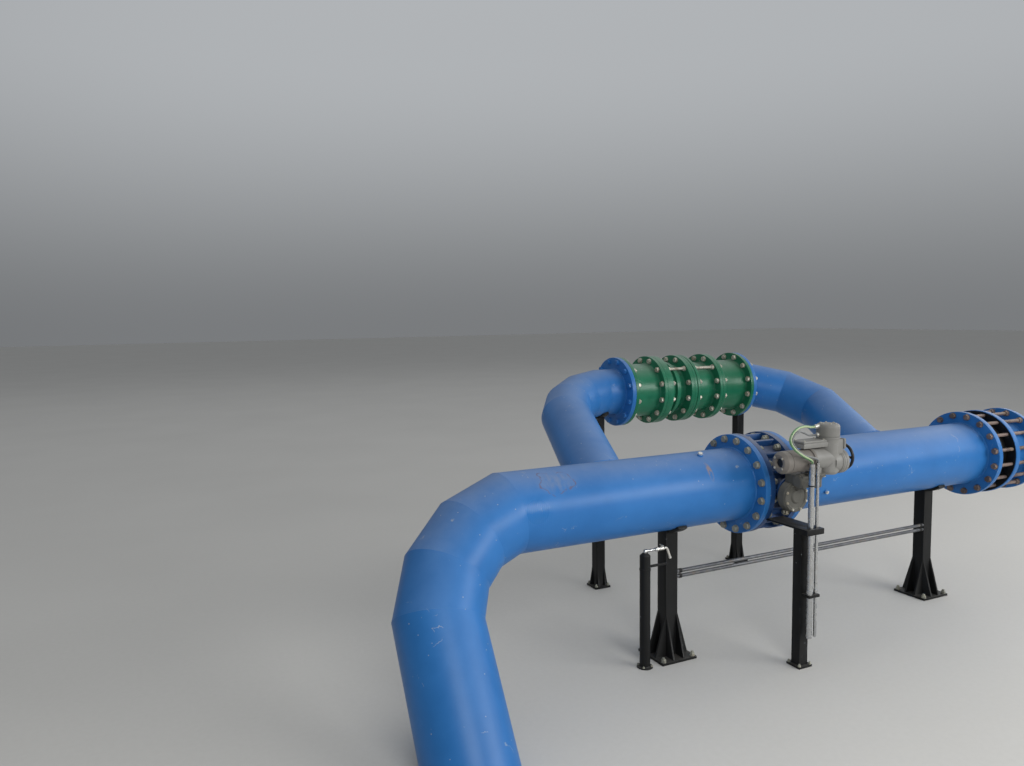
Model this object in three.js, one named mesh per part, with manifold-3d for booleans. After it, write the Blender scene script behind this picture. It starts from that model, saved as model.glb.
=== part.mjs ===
// A pumping station pipe line in welded steel. The main line rises out of the floor through a mitred
// elbow, runs level through a motor driven butterfly valve and ends at a make-up joint. A smaller
// bypass leaves its far side, runs parallel above it through a take-up joint and a check valve, and
// returns beyond the valve. Millimetres, +Z up, +X along the flow, +Y away from the walkway.
// The origin is on the floor under the main line, in the middle of the inlet support.

import * as THREE from "three";
import { mergeVertices } from "three/addons/utils/BufferGeometryUtils.js";
import Module from "manifold-3d";

const wasm = await Module();
wasm.setup();

// Driving dimensions of the main line
const mainHeight = 803;
const mainOuter = 177.8;
const mainWall = 8;
const mainFlange = 245;
const mainElbowRadius = 494;
const mainElbowCuts = 4;
const mainElbowStart = -760;
const legTilt = THREE.MathUtils.degToRad(34.7);
const inletFlangeStart = 385;
const flangeThick = 30;
const valveLength = 190;
const outletFlangeStart = 2122;
const outletFlangeThick = 32;
const sleeveOuter = 188;
const clampFlangeStart = 2276;
const clampFlangeEnd = 2310;
const tailFlangeStart = 2490;
const lineEnd = 2520;

// Driving dimensions of the bypass
const bypassOffset = 981;
const bypassHeight = 1186;
const bypassOuter = 136.5;
const bypassWall = 6.3;
const bypassFlange = 206;
const branchFoot = -339;
const branchCorner = -67;
const branchRadius = 461;
const branchCuts = 4;
const returnCorner = 1763;
const returnFoot = 1425;
const returnRadius = 397;
const returnCuts = 3;
const bypassInlet = 333;
const inletSpoolStart = 360;
const inletSpoolEnd = 586;
const glandStart = 686;
const glandEnd = 712;
const checkValveStart = 786;
const outletSpoolStart = 1003;
const outletSpoolEnd = 1249;
const bypassOutlet = 1272;

// Supports, post and small fittings
const outletSupportX = 1820;
const branchSupportX = 222;
const returnSupportX = 1305;
const columnWidth = 68;
const branchColumnWidth = 57;
const returnColumnWidth = 52;
const postX = 478;
const postY = -375;
const armTop = 666;
const conduitX = [477, 514];
const conduitY = -430;
const conduitRadius = [13, 7.5];
const conduitFoot = 150;
const conduitTop = [964, 967];
const tieTubeRadius = 9;
const tieTubeHeights = { tie_tube_upper: 417, tie_tube_lower: 392 };
const standpipeX = -175;
const standpipeY = -62;
const standpipeRadius = 25;
const tapX = -81;
const tapHeight = 555;

// Valve drive
const gearboxHeight = 784;
const gearboxRadius = 75;
const gearboxBack = -258;
const gearboxFront = -315;
const inputX = 560;
const inputTop = 905;
const inputFlange = 55;
const actuatorX = 650;
const actuatorY = -360;
const bodyRadius = 51;
const capRadius = 53;
const capFoot = 1069;
const bodyTop = 1129;
const motorStart = 345;
const motorFace = 530;
const motorHeight = 968;
const motorRadius = 52.5;
const motorFlange = 56;
const drumFace = 700;
const drumEnd = 735;
const drumHeight = 948;
const drumRadius = 60;
const wheelMiddle = 750;
const wheelHeight = 965;
const wheelRim = 58;
const glandY = -350;
const glandStartX = [574, 586];
const glandHeights = [1117, 1078];
const glandRadius = 11;
const cableRadius = [6, 5];

// Clearances and mesh fineness
const gap = 0.3;
const roundSides = 24;
const smallSides = 16;

const mainInner = mainOuter - mainWall;
const bypassInner = bypassOuter - bypassWall;
const valveStart = inletFlangeStart + flangeThick;
const valveEnd = valveStart + valveLength;
const valveMiddle = (valveStart + valveEnd) / 2;
const outletPipeStart = valveEnd + flangeThick;
const sleeveStart = outletFlangeStart + outletFlangeThick;

const vec = (x, y, z) => new THREE.Vector3(x, y, z);
const xAxis = vec(1, 0, 0);
const yAxis = vec(0, 1, 0);
const zAxis = vec(0, 0, 1);

// Paints and metals
const finish = (color, roughness, metalness) =>
  new THREE.MeshStandardMaterial({ color, roughness, metalness });
const bluePaint = finish(0x4a83c4, 0.42, 0.1);
const greenPaint = finish(0x3f8a63, 0.42, 0.1);
const blackPaint = finish(0x17181b, 0.5, 0.1);
const greyPaint = finish(0x8d8d86, 0.5, 0.15);
const zincTube = finish(0xb9bcc0, 0.4, 0.85);
const blackPlastic = finish(0x151515, 0.5, 0);
const platedTap = finish(0xb0a98e, 0.35, 0.8);
const greyCable = finish(0x55585c, 0.6, 0);
const greenCable = finish(0x7f9a3d, 0.6, 0);

// A closed three.js geometry as a solid, turned right side out
function solidOf(geometry) {
  const bare = geometry.index ? geometry.toNonIndexed() : geometry.clone();
  bare.deleteAttribute("normal");
  bare.deleteAttribute("uv");
  const merged = mergeVertices(bare, 1e-3);
  const points = merged.attributes.position;
  const corners = Array.from(merged.index.array);
  const kept = [];
  let volume = 0;
  const a = vec(0, 0, 0);
  const b = vec(0, 0, 0);
  const c = vec(0, 0, 0);
  for (let i = 0; i < corners.length; i += 3) {
    const [p, q, r] = corners.slice(i, i + 3);
    if (p === q || q === r || r === p) continue;
    a.fromBufferAttribute(points, p);
    b.fromBufferAttribute(points, q);
    c.fromBufferAttribute(points, r);
    volume += a.dot(b.cross(c));
    kept.push(p, q, r);
  }
  if (volume < 0) kept.reverse();
  return new wasm.Manifold(
    new wasm.Mesh({
      numProp: 3,
      vertProperties: new Float32Array(points.array),
      triVerts: new Uint32Array(kept),
    }),
  );
}

// A solid back as a three.js geometry
function geometryOf(solid) {
  const mesh = solid.getMesh();
  const geometry = new THREE.BufferGeometry();
  geometry.setAttribute("position", new THREE.BufferAttribute(new Float32Array(mesh.vertProperties), 3));
  geometry.setIndex(new THREE.BufferAttribute(new Uint32Array(mesh.triVerts), 1));
  geometry.computeVertexNormals();
  return geometry;
}

const joined = (...solids) => solids.reduce((whole, next) => whole.add(next));

// A quaternion that takes +Z to the direction and +X as near as it can to the side
function facing(direction, side) {
  const forward = direction.clone().normalize();
  const up = side.clone().addScaledVector(forward, -side.dot(forward)).normalize();
  const third = forward.clone().cross(up);
  return new THREE.Quaternion().setFromRotationMatrix(new THREE.Matrix4().makeBasis(up, third, forward));
}

// Round bar or tube from one point to another; side fixes where its first edge lies
function tube(from, to, outer, inner = 0, side = zAxis, sides = roundSides) {
  const outline = new THREE.Shape();
  outline.absarc(0, 0, outer, 0, Math.PI * 2);
  if (inner > 0) {
    const bore = new THREE.Path();
    bore.absarc(0, 0, inner, 0, Math.PI * 2, true);
    outline.holes.push(bore);
  }
  const direction = to.clone().sub(from);
  const geometry = new THREE.ExtrudeGeometry(outline, {
    depth: direction.length(),
    bevelEnabled: false,
    curveSegments: sides / 2,
  });
  geometry.applyQuaternion(facing(direction, side));
  geometry.translate(from.x, from.y, from.z);
  return solidOf(geometry);
}

// Upright round bar between two heights
function upright(x, y, lowZ, highZ, radius, sides = roundSides) {
  return tube(vec(x, y, lowZ), vec(x, y, highZ), radius, 0, xAxis, sides);
}

// Level round bar along X
function level(lowX, highX, y, z, radius, sides = roundSides) {
  return tube(vec(lowX, y, z), vec(highX, y, z), radius, 0, zAxis, sides);
}

// A body turned about a line along X: the closed outline lists [x, radius]
function turned(outline, y, z, sides = roundSides) {
  const points = outline.map(([x, radius]) => new THREE.Vector2(radius, x));
  const geometry = new THREE.LatheGeometry([...points, points[0].clone()], sides);
  geometry.rotateZ(-Math.PI / 2);
  geometry.translate(0, y, z);
  return solidOf(geometry);
}

function block(lowX, highX, lowY, highY, lowZ, highZ) {
  const geometry = new THREE.BoxGeometry(highX - lowX, highY - lowY, highZ - lowZ);
  geometry.translate((lowX + highX) / 2, (lowY + highY) / 2, (lowZ + highZ) / 2);
  return solidOf(geometry);
}

// Takes away all that lies beyond a plane, and half of the joint's gap with it
function cutBeyond(solid, point, normal) {
  const size = 4000;
  const geometry = new THREE.BoxGeometry(size, size, size);
  geometry.translate(0, 0, size / 2 - gap / 2);
  geometry.applyQuaternion(facing(normal, Math.abs(normal.z) < 0.9 ? zAxis : xAxis));
  geometry.translate(point.x, point.y, point.z);
  return solid.subtract(solidOf(geometry));
}

// The cuts of a mitred bend: where they cross the centre line, and which way they face
function mitredBend(corner, into, outOf, radius, cuts) {
  const turn = Math.acos(THREE.MathUtils.clamp(into.dot(outOf), -1, 1));
  const reach = radius * Math.tan(turn / 2);
  const start = corner.clone().addScaledVector(into, -reach);
  const inward = outOf.clone().addScaledVector(into, -outOf.dot(into)).normalize();
  const centre = start.clone().addScaledVector(inward, radius);
  const step = turn / cuts;
  const cutRadius = radius / Math.cos(step / 2);
  const places = [];
  const normals = [];
  for (let k = 0; k < cuts; k += 1) {
    const angle = (k + 0.5) * step;
    const out = inward.clone().multiplyScalar(-Math.cos(angle)).addScaledVector(into, Math.sin(angle));
    places.push(centre.clone().addScaledVector(out, cutRadius));
    normals.push(into.clone().multiplyScalar(Math.cos(angle)).addScaledVector(inward, Math.sin(angle)));
  }
  return { places, normals, side: into.clone().cross(outOf).normalize() };
}

// The straight pipe that one short piece of a bend is cut from, longer than the piece at both ends
const overrun = 120;
function bendPipe(bend, k, outer, inner = 0) {
  const from = bend.places[k - 1];
  const to = bend.places[k];
  const direction = to.clone().sub(from).normalize();
  return tube(
    from.clone().addScaledVector(direction, -overrun),
    to.clone().addScaledVector(direction, overrun),
    outer,
    inner,
    bend.side,
  );
}

// The short pipe pieces between the cuts of a bend
function bendSegments(bend, outer, inner) {
  const segments = [];
  for (let k = 1; k < bend.places.length; k += 1) {
    let piece = bendPipe(bend, k, outer, inner);
    piece = cutBeyond(piece, bend.places[k - 1], bend.normals[k - 1].clone().negate());
    piece = cutBeyond(piece, bend.places[k], bend.normals[k]);
    segments.push(piece);
  }
  return segments;
}

const group = new THREE.Group();

function add(name, solid, material) {
  const mesh = new THREE.Mesh(geometryOf(solid), material);
  mesh.name = name;
  group.add(mesh);
}

// Main elbow and drop leg, which is cut level at the floor
const mainCorner = vec(mainElbowStart - mainElbowRadius, 0, mainHeight);
const legUp = vec(0, Math.sin(legTilt), Math.cos(legTilt));
const mainBend = mitredBend(mainCorner, legUp, xAxis, mainElbowRadius, mainElbowCuts);
const legLength = 1300;
const below = 900;
const legBelowFloor = mainCorner.clone().addScaledVector(legUp, -legLength);
const legAbove = mainBend.places[0].clone().addScaledVector(legUp, overrun);
let dropLeg = tube(legBelowFloor, legAbove, mainOuter, mainInner, mainBend.side);
dropLeg = cutBeyond(dropLeg, mainBend.places[0], mainBend.normals[0]);
dropLeg = dropLeg.subtract(block(mainCorner.x - below, mainCorner.x + below, -2 * below, below, -below, 0));
add("drop_leg", dropLeg, bluePaint);
bendSegments(mainBend, mainOuter, mainInner).forEach((piece, k) => {
  add(`main_elbow_segment_${k + 1}`, piece, bluePaint);
});

// Where the bypass leaves the main line, and where it comes back
const branchStart = vec(branchFoot, 0, mainHeight);
const branchTop = vec(branchCorner, bypassOffset, bypassHeight);
const branchUp = branchTop.clone().sub(branchStart).normalize();
const branchBend = mitredBend(branchTop, branchUp, xAxis, branchRadius, branchCuts);
const returnTop = vec(returnCorner, bypassOffset, bypassHeight);
const returnEnd = vec(returnFoot, 0, mainHeight);
const returnDown = returnEnd.clone().sub(returnTop).normalize();
const returnBend = mitredBend(returnTop, xAxis, returnDown, returnRadius, returnCuts);
const holeDepth = 400;
const mainLineBar = level(mainElbowStart, outletFlangeStart, 0, mainHeight, mainOuter + gap);
const branchHoleEnd = branchStart.clone().addScaledVector(branchUp, holeDepth);
const branchHole = tube(branchStart, branchHoleEnd, bypassInner, 0, branchBend.side);
const returnHoleEnd = returnEnd.clone().addScaledVector(returnDown, -holeDepth);
const returnHole = tube(returnEnd, returnHoleEnd, bypassInner, 0, returnBend.side);

// Main line and its flanges
const lastMainCut = mainElbowCuts - 1;
const inletPipeStart = mainBend.places[lastMainCut].clone().addScaledVector(xAxis, -overrun);
let inletPipe = tube(inletPipeStart, vec(inletFlangeStart, 0, mainHeight), mainOuter, mainInner);
const inletPipeCut = mainBend.normals[lastMainCut].clone().negate();
inletPipe = cutBeyond(inletPipe, mainBend.places[lastMainCut], inletPipeCut);
add("inlet_pipe", inletPipe.subtract(branchHole), bluePaint);

function mainRing(start, end, outer) {
  return turned([[start, mainInner], [end, mainInner], [end, outer], [start, outer]], 0, mainHeight);
}

add("valve_inlet_flange", mainRing(inletFlangeStart, valveStart, mainFlange), bluePaint);
add("valve_outlet_flange", mainRing(valveEnd, outletPipeStart, mainFlange), bluePaint);

// Butterfly valve: a flanged body with ribs across its waist and a stem boss at each side
const valveWaist = 206;
const ribThick = 14;
const ribReach = 239;
const ribAngles = [22.5, 67.5, 112.5, 157.5];
const stemBoss = 48;
const stemBossFoot = 150;
const farStemBoss = 240;
let valveBody = turned([
  [valveStart, mainInner],
  [valveEnd, mainInner],
  [valveEnd, mainFlange],
  [valveEnd - flangeThick, mainFlange],
  [valveEnd - flangeThick, valveWaist],
  [valveStart + flangeThick, valveWaist],
  [valveStart + flangeThick, mainFlange],
  [valveStart, mainFlange],
], 0, mainHeight);
for (const degrees of ribAngles) {
  const rib = new THREE.BoxGeometry(valveLength - flangeThick, 2 * ribReach, ribThick);
  rib.rotateX(THREE.MathUtils.degToRad(degrees));
  rib.translate(valveMiddle, 0, mainHeight);
  valveBody = valveBody.add(solidOf(rib));
}
const acrossValve = (fromY, toY, radius) =>
  tube(vec(valveMiddle, fromY, mainHeight), vec(valveMiddle, toY, mainHeight), radius, 0, zAxis, smallSides);
valveBody = valveBody.add(acrossValve(-stemBossFoot, gearboxBack, stemBoss));
valveBody = valveBody.add(acrossValve(stemBossFoot, farStemBoss, stemBoss));
valveBody = valveBody.subtract(level(inletFlangeStart, outletPipeStart, 0, mainHeight, mainInner));
add("valve_body", valveBody, bluePaint);

const discRadius = 166;
const discThick = 36;
const stemRadius = 18;
const stemReach = 167.1;
const disc = level(valveMiddle - discThick / 2, valveMiddle + discThick / 2, 0, mainHeight, discRadius);
add("valve_disc", joined(disc, acrossValve(-stemReach, stemReach, stemRadius)), blackPaint);

// Outlet pipe and make-up joint
const outletPipe = tube(vec(outletPipeStart, 0, mainHeight), vec(outletFlangeStart, 0, mainHeight), mainOuter,
  mainInner);
add("outlet_pipe", outletPipe.subtract(returnHole), bluePaint);
add("outlet_flange", mainRing(outletFlangeStart, sleeveStart, mainFlange), bluePaint);
add("make_up_sleeve", mainRing(sleeveStart, clampFlangeStart, sleeveOuter), blackPaint);
add("make_up_clamp_flange", mainRing(clampFlangeStart, clampFlangeEnd, mainFlange), bluePaint);
add("make_up_tail", turned([
  [clampFlangeEnd, mainInner],
  [lineEnd, mainInner],
  [lineEnd, mainFlange],
  [tailFlangeStart, mainFlange],
  [tailFlangeStart, mainOuter],
  [clampFlangeEnd, mainOuter],
], 0, mainHeight), bluePaint);

// Bypass branch up to the level run
const branchPipeEnd = branchBend.places[0].clone().addScaledVector(branchUp, overrun);
let branchPipe = tube(branchStart, branchPipeEnd, bypassOuter, bypassInner, branchBend.side);
branchPipe = cutBeyond(branchPipe, branchBend.places[0], branchBend.normals[0]).subtract(mainLineBar);
add("branch_pipe", branchPipe, bluePaint);
bendSegments(branchBend, bypassOuter, bypassInner).forEach((piece, k) => {
  add(`branch_elbow_segment_${k + 1}`, piece, bluePaint);
});
const lastBranchCut = branchCuts - 1;
const branchStubStart = branchBend.places[lastBranchCut].clone().addScaledVector(xAxis, -overrun);
const branchStubEnd = vec(bypassInlet, bypassOffset, bypassHeight);
const branchStub = tube(branchStubStart, branchStubEnd, bypassOuter, bypassInner, branchBend.side);
const branchStubCut = branchBend.normals[lastBranchCut].clone().negate();
add("branch_stub", cutBeyond(branchStub, branchBend.places[lastBranchCut], branchStubCut), bluePaint);

// Level run of the bypass: flanged pieces bolted face to face
function bypassBody(outline) {
  return turned(outline, bypassOffset, bypassHeight);
}

function bypassRing(start, end, outer) {
  return bypassBody([[start, bypassInner], [end, bypassInner], [end, outer], [start, outer]]);
}

// A barrel with a flange at each end
const spoolOuter = 161;
const spoolFlangeThick = 22;
function flangedSpool(start, end) {
  return bypassBody([
    [start, bypassInner],
    [end, bypassInner],
    [end, bypassFlange],
    [end - spoolFlangeThick, bypassFlange],
    [end - spoolFlangeThick, spoolOuter],
    [start + spoolFlangeThick, spoolOuter],
    [start + spoolFlangeThick, bypassFlange],
    [start, bypassFlange],
  ]);
}

add("bypass_inlet_flange", bypassRing(bypassInlet, inletSpoolStart, bypassFlange), bluePaint);
add("inlet_spool", flangedSpool(inletSpoolStart, inletSpoolEnd), greenPaint);

// Take-up joint: a thick flanged sleeve, a gland ring and a tail that slides in it
const takeUpFlangeThick = 45;
const takeUpOuter = 150;
const glandOuter = 166;
const tailFlangeThick = 25;
const tailOuter = 143;
add("take_up_sleeve", bypassBody([
  [inletSpoolEnd, bypassInner],
  [glandStart, bypassInner],
  [glandStart, takeUpOuter],
  [inletSpoolEnd + takeUpFlangeThick, takeUpOuter],
  [inletSpoolEnd + takeUpFlangeThick, bypassFlange],
  [inletSpoolEnd, bypassFlange],
]), greenPaint);
add("take_up_gland_ring", bypassRing(glandStart, glandEnd, glandOuter), greenPaint);
add("take_up_tail", bypassBody([
  [glandEnd, bypassInner],
  [checkValveStart, bypassInner],
  [checkValveStart, bypassFlange],
  [checkValveStart - tailFlangeThick, bypassFlange],
  [checkValveStart - tailFlangeThick, tailOuter],
  [glandEnd, tailOuter],
]), greenPaint);

// Check valve: two thick plates with a groove between them, and a flanged barrel
const plateThick = 20;
const groove = 4;
const grooveRadius = 185;
const checkBarrel = 152;
const grooveStart = checkValveStart + plateThick;
const grooveEnd = grooveStart + groove;
const platesEnd = grooveEnd + plateThick;
add("check_valve_body", bypassBody([
  [checkValveStart, bypassInner],
  [outletSpoolStart, bypassInner],
  [outletSpoolStart, bypassFlange],
  [outletSpoolStart - spoolFlangeThick, bypassFlange],
  [outletSpoolStart - spoolFlangeThick, checkBarrel],
  [platesEnd, checkBarrel],
  [platesEnd, bypassFlange],
  [grooveEnd, bypassFlange],
  [grooveEnd, grooveRadius],
  [grooveStart, grooveRadius],
  [grooveStart, bypassFlange],
  [checkValveStart, bypassFlange],
]), greenPaint);
add("outlet_spool", flangedSpool(outletSpoolStart, outletSpoolEnd), greenPaint);
add("bypass_outlet_flange", bypassRing(outletSpoolEnd, bypassOutlet, bypassFlange), bluePaint);

// Return down into the main line
const returnStubStart = vec(bypassOutlet, bypassOffset, bypassHeight);
const returnStubEnd = returnBend.places[0].clone().addScaledVector(xAxis, overrun);
const returnStub = tube(returnStubStart, returnStubEnd, bypassOuter, bypassInner, returnBend.side);
add("return_stub", cutBeyond(returnStub, returnBend.places[0], returnBend.normals[0]), bluePaint);
bendSegments(returnBend, bypassOuter, bypassInner).forEach((piece, k) => {
  add(`return_elbow_segment_${k + 1}`, piece, bluePaint);
});
const lastReturnCut = returnCuts - 1;
const returnPipeStart = returnBend.places[lastReturnCut].clone().addScaledVector(returnDown, -overrun);
let returnPipe = tube(returnPipeStart, returnEnd, bypassOuter, bypassInner, returnBend.side);
const returnPipeCut = returnBend.normals[lastReturnCut].clone().negate();
returnPipe = cutBeyond(returnPipe, returnBend.places[lastReturnCut], returnPipeCut).subtract(mainLineBar);
add("return_pipe", returnPipe, bluePaint);

// A support: base plate, column with gussets flush with its faces, and a saddle under the pipe
const basePlateThick = 12;
function support({ x, y, pipeHeight, pipeRadius, width, plateHalf, gussetHeight, side = zAxis }) {
  const saddleThick = 14;
  const saddleLap = 3;
  const endMargin = 8;
  const gussetThick = 10;
  const plateMargin = 6;
  const pipeShare = 0.9;
  const spread = THREE.MathUtils.degToRad(38);
  const seat = pipeRadius + gap;
  const half = width / 2;
  const plate = block(x - plateHalf, x + plateHalf, y - plateHalf, y + plateHalf, 0, basePlateThick);
  const column = block(x - half, x + half, y - half, y + half, 0, pipeHeight - pipeRadius * pipeShare);
  const gussetOutline = new THREE.Shape();
  gussetOutline.moveTo(plateMargin - plateHalf, 0);
  gussetOutline.lineTo(plateHalf - plateMargin, 0);
  gussetOutline.lineTo(half, gussetHeight);
  gussetOutline.lineTo(-half, gussetHeight);
  const gussets = [0, 1, 2, 3].map((quarter) => {
    const web = new THREE.ExtrudeGeometry(gussetOutline, { depth: gussetThick, bevelEnabled: false });
    web.rotateX(Math.PI / 2);
    web.translate(0, half, 0);
    web.rotateZ((quarter * Math.PI) / 2);
    web.translate(x, y, basePlateThick - 1);
    return solidOf(web);
  });
  const cradleOutline = new THREE.Shape();
  cradleOutline.absarc(0, 0, seat + saddleThick, -Math.PI / 2 - spread, -Math.PI / 2 + spread);
  cradleOutline.absarc(0, 0, seat - saddleLap, -Math.PI / 2 + spread, -Math.PI / 2 - spread, true);
  const cradle = new THREE.ExtrudeGeometry(cradleOutline, {
    depth: width - 2 * endMargin,
    bevelEnabled: false,
    curveSegments: 8,
  });
  cradle.applyQuaternion(facing(xAxis, yAxis));
  cradle.translate(x - half + endMargin, y, pipeHeight);
  const pipe = tube(vec(x - 2 * width, y, pipeHeight), vec(x + 2 * width, y, pipeHeight), seat, 0, side);
  return joined(plate, column, ...gussets, solidOf(cradle)).subtract(pipe);
}

const mainSupport = {
  y: 0,
  pipeHeight: mainHeight,
  pipeRadius: mainOuter,
  width: columnWidth,
  plateHalf: 100,
  gussetHeight: 205,
};
const bypassSupport = {
  y: bypassOffset,
  pipeHeight: bypassHeight,
  pipeRadius: bypassOuter,
  plateHalf: 52,
  gussetHeight: 105,
};
const branchSupport = support({
  ...bypassSupport,
  x: branchSupportX,
  width: branchColumnWidth,
  side: branchBend.side,
});
const returnSupport = support({
  ...bypassSupport,
  x: returnSupportX,
  width: returnColumnWidth,
  side: returnBend.side,
});
add("inlet_support", support({ ...mainSupport, x: 0 }), blackPaint);
add("outlet_support", support({ ...mainSupport, x: outletSupportX }), blackPaint);
const lastBranchPiece = bendPipe(branchBend, lastBranchCut, bypassOuter + gap);
const firstReturnPiece = bendPipe(returnBend, 1, bypassOuter + gap);
add("branch_support", branchSupport.subtract(lastBranchPiece), blackPaint);
add("return_support", returnSupport.subtract(firstReturnPiece), blackPaint);

// Post beside the valve: its arm and clip hold the two conduits and the arm seats against the valve's rim
const postHalf = 25;
const postFootHalf = 40;
const postFootThick = 10;
const arm = { left: 430, right: 535, front: -455, back: -150, thick: 8 };
const lip = { back: -405, low: 640 };
const clip = { left: 460, right: 525, front: -446, low: 343, high: 355 };
const postBlock = (half, lowZ, highZ) =>
  block(postX - half, postX + half, postY - half, postY + half, lowZ, highZ);
const conduit = (k, radius) => upright(conduitX[k], conduitY, conduitFoot, conduitTop[k], radius, smallSides);
const post = joined(
  postBlock(postFootHalf, 0, postFootThick),
  postBlock(postHalf, 0, armTop - 1),
  block(arm.left, arm.right, arm.front, arm.back, armTop - arm.thick, armTop),
  block(arm.left, arm.right, arm.front, lip.back, lip.low, armTop),
  block(clip.left, clip.right, clip.front, postY - postHalf + 1, clip.low, clip.high),
).subtract(joined(
  ...conduitX.map((x, k) => conduit(k, conduitRadius[k] + gap)),
  level(inletFlangeStart, outletPipeStart, 0, mainHeight, mainFlange + gap),
));
add("conduit_post", post, blackPaint);
conduitX.forEach((x, k) => {
  add(`conduit_${k + 1}`, conduit(k, conduitRadius[k]), zincTube);
});

// Two thin tubes clipped between the supports, flush with the columns' near faces
const tieTubeY = tieTubeRadius - columnWidth / 2;
const tieTubeStart = columnWidth / 2;
const tieTubeEnd = outletSupportX - columnWidth / 2;
for (const [name, height] of Object.entries(tieTubeHeights)) {
  add(name, level(tieTubeStart, tieTubeEnd, tieTubeY, height, tieTubeRadius, smallSides), zincTube);
}

// Worm gearbox on the valve stem, and the housing above it that carries the actuator
const housing = { left: 470, right: 596, front: -385, back: -262, low: 835, high: 900 };
const inputBarrel = 38;
const inputFlangeThick = 12;
const gearbox = joined(
  tube(vec(valveMiddle, gearboxBack - gap, gearboxHeight), vec(valveMiddle, gearboxFront, gearboxHeight),
    gearboxRadius),
  block(housing.left, housing.right, housing.front, housing.back, housing.low, housing.high),
  upright(inputX, actuatorY, housing.low, inputTop, inputBarrel),
  upright(inputX, actuatorY, inputTop - inputFlangeThick, inputTop, inputFlange),
);
add("gearbox", gearbox, greyPaint);

// Electric actuator: upright body with its cap, motor to the left, control drum to the right
const neckFlangeThick = 7;
const neckRadius = 36;
const motorBoss = 50;
const drumBoss = 55;
const cover = { left: 655, right: 712, front: -415, back: -305, low: 985, high: 1060 };
const terminalBox = { left: 460, right: 640, front: -398, back: -322, low: 1025, high: 1060 };
const actuatorBody = joined(
  upright(actuatorX, actuatorY, inputTop, capFoot, bodyRadius),
  upright(actuatorX, actuatorY, capFoot - 1, bodyTop, capRadius),
  upright(inputX, actuatorY, inputTop, inputTop + neckFlangeThick, inputFlange),
  upright(inputX, actuatorY, inputTop, motorHeight, neckRadius),
  level(motorFace, actuatorX, actuatorY, motorHeight, motorBoss),
  level(actuatorX, drumFace, actuatorY, drumHeight, drumBoss),
  block(cover.left, cover.right, cover.front, cover.back, cover.low, cover.high),
  block(terminalBox.left, terminalBox.right, terminalBox.front, terminalBox.back, terminalBox.low,
    terminalBox.high),
).subtract(joined(
  level(motorStart, motorFace, actuatorY, motorHeight, motorFlange + gap),
  level(drumFace, drumEnd, actuatorY, drumHeight, drumRadius + gap),
));
add("actuator_body", actuatorBody, greyPaint);

const motorNose = 40;
const motorChamfer = 15;
const motorFlangeThick = 14;
add("actuator_motor", turned([
  [motorStart, 0],
  [motorStart, motorNose],
  [motorStart + motorChamfer, motorRadius],
  [motorFace - motorFlangeThick, motorRadius],
  [motorFace - motorFlangeThick, motorFlange],
  [motorFace, motorFlange],
  [motorFace, 0],
], actuatorY, motorHeight), greyPaint);

const drumEdge = 6;
const wheelSeat = drumEnd + 3;
const wheelBoss = 20;
add("actuator_drum", joined(
  turned([
    [drumFace, 0],
    [drumFace, drumRadius],
    [drumEnd - drumEdge, drumRadius],
    [drumEnd, drumRadius - drumEdge],
    [drumEnd, 0],
  ], actuatorY, drumHeight),
  level(drumEnd - 1, wheelSeat, actuatorY, wheelHeight, wheelBoss, smallSides),
), greyPaint);

// Handwheel: a round rim, three spokes and a hub
const rimThick = 7;
const spokeWidth = 12;
const hubRadius = 16;
const hubEnd = wheelMiddle + 10;
const rim = new THREE.TorusGeometry(wheelRim, rimThick, 8, roundSides);
rim.rotateY(Math.PI / 2);
rim.translate(wheelMiddle, actuatorY, wheelHeight);
const spokes = [90, 210, 330].map((degrees) => {
  const spoke = new THREE.BoxGeometry(rimThick, spokeWidth, wheelRim);
  spoke.translate(0, 0, wheelRim / 2);
  spoke.rotateX(THREE.MathUtils.degToRad(degrees));
  spoke.translate(wheelMiddle, actuatorY, wheelHeight);
  return solidOf(spoke);
});
const hub = level(wheelSeat + gap, hubEnd, actuatorY, wheelHeight, hubRadius, smallSides);
add("actuator_handwheel", joined(solidOf(rim), ...spokes, hub), blackPlastic);

// Cable glands: short studs on the side of the actuator's cap
glandHeights.forEach((height, k) => {
  const stud = level(glandStartX[k], actuatorX, glandY, height, glandRadius, 8);
  add(`cable_gland_${k + 1}`, stud.subtract(actuatorBody), zincTube);
});

// Each cable runs from the top of its conduit in a loop round the motor's end to its gland
function cable(points, radius) {
  const outline = new THREE.Shape();
  outline.absarc(0, 0, radius, 0, Math.PI * 2);
  return solidOf(new THREE.ExtrudeGeometry(outline, {
    extrudePath: new THREE.CatmullRomCurve3(points),
    steps: 44,
    bevelEnabled: false,
    curveSegments: 4,
  }));
}
add("cable_1", cable([
  vec(conduitX[0], conduitY, conduitTop[0] + gap),
  vec(conduitX[0], conduitY, 975),
  vec(452, -438, 988),
  vec(410, -440, 1008),
  vec(362, -440, 1040),
  vec(338, -436, 1078),
  vec(356, -430, 1110),
  vec(402, -415, 1129),
  vec(470, -388, 1130),
  vec(548, glandY, glandHeights[0]),
  vec(glandStartX[0] - gap, glandY, glandHeights[0]),
], cableRadius[0]), greenCable);
add("cable_2", cable([
  vec(conduitX[1], conduitY, conduitTop[1] + gap),
  vec(conduitX[1], conduitY, 978),
  vec(490, -428, 990),
  vec(440, -425, 1003),
  vec(397, -425, 1030),
  vec(371, -425, 1056),
  vec(362, -424, 1079),
  vec(377, -422, 1104),
  vec(412, -416, 1114),
  vec(450, -405, 1105),
  vec(500, -385, 1088),
  vec(558, glandY, glandHeights[1]),
  vec(glandStartX[1] - gap, glandY, glandHeights[1]),
], cableRadius[1]), greyCable);

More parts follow.
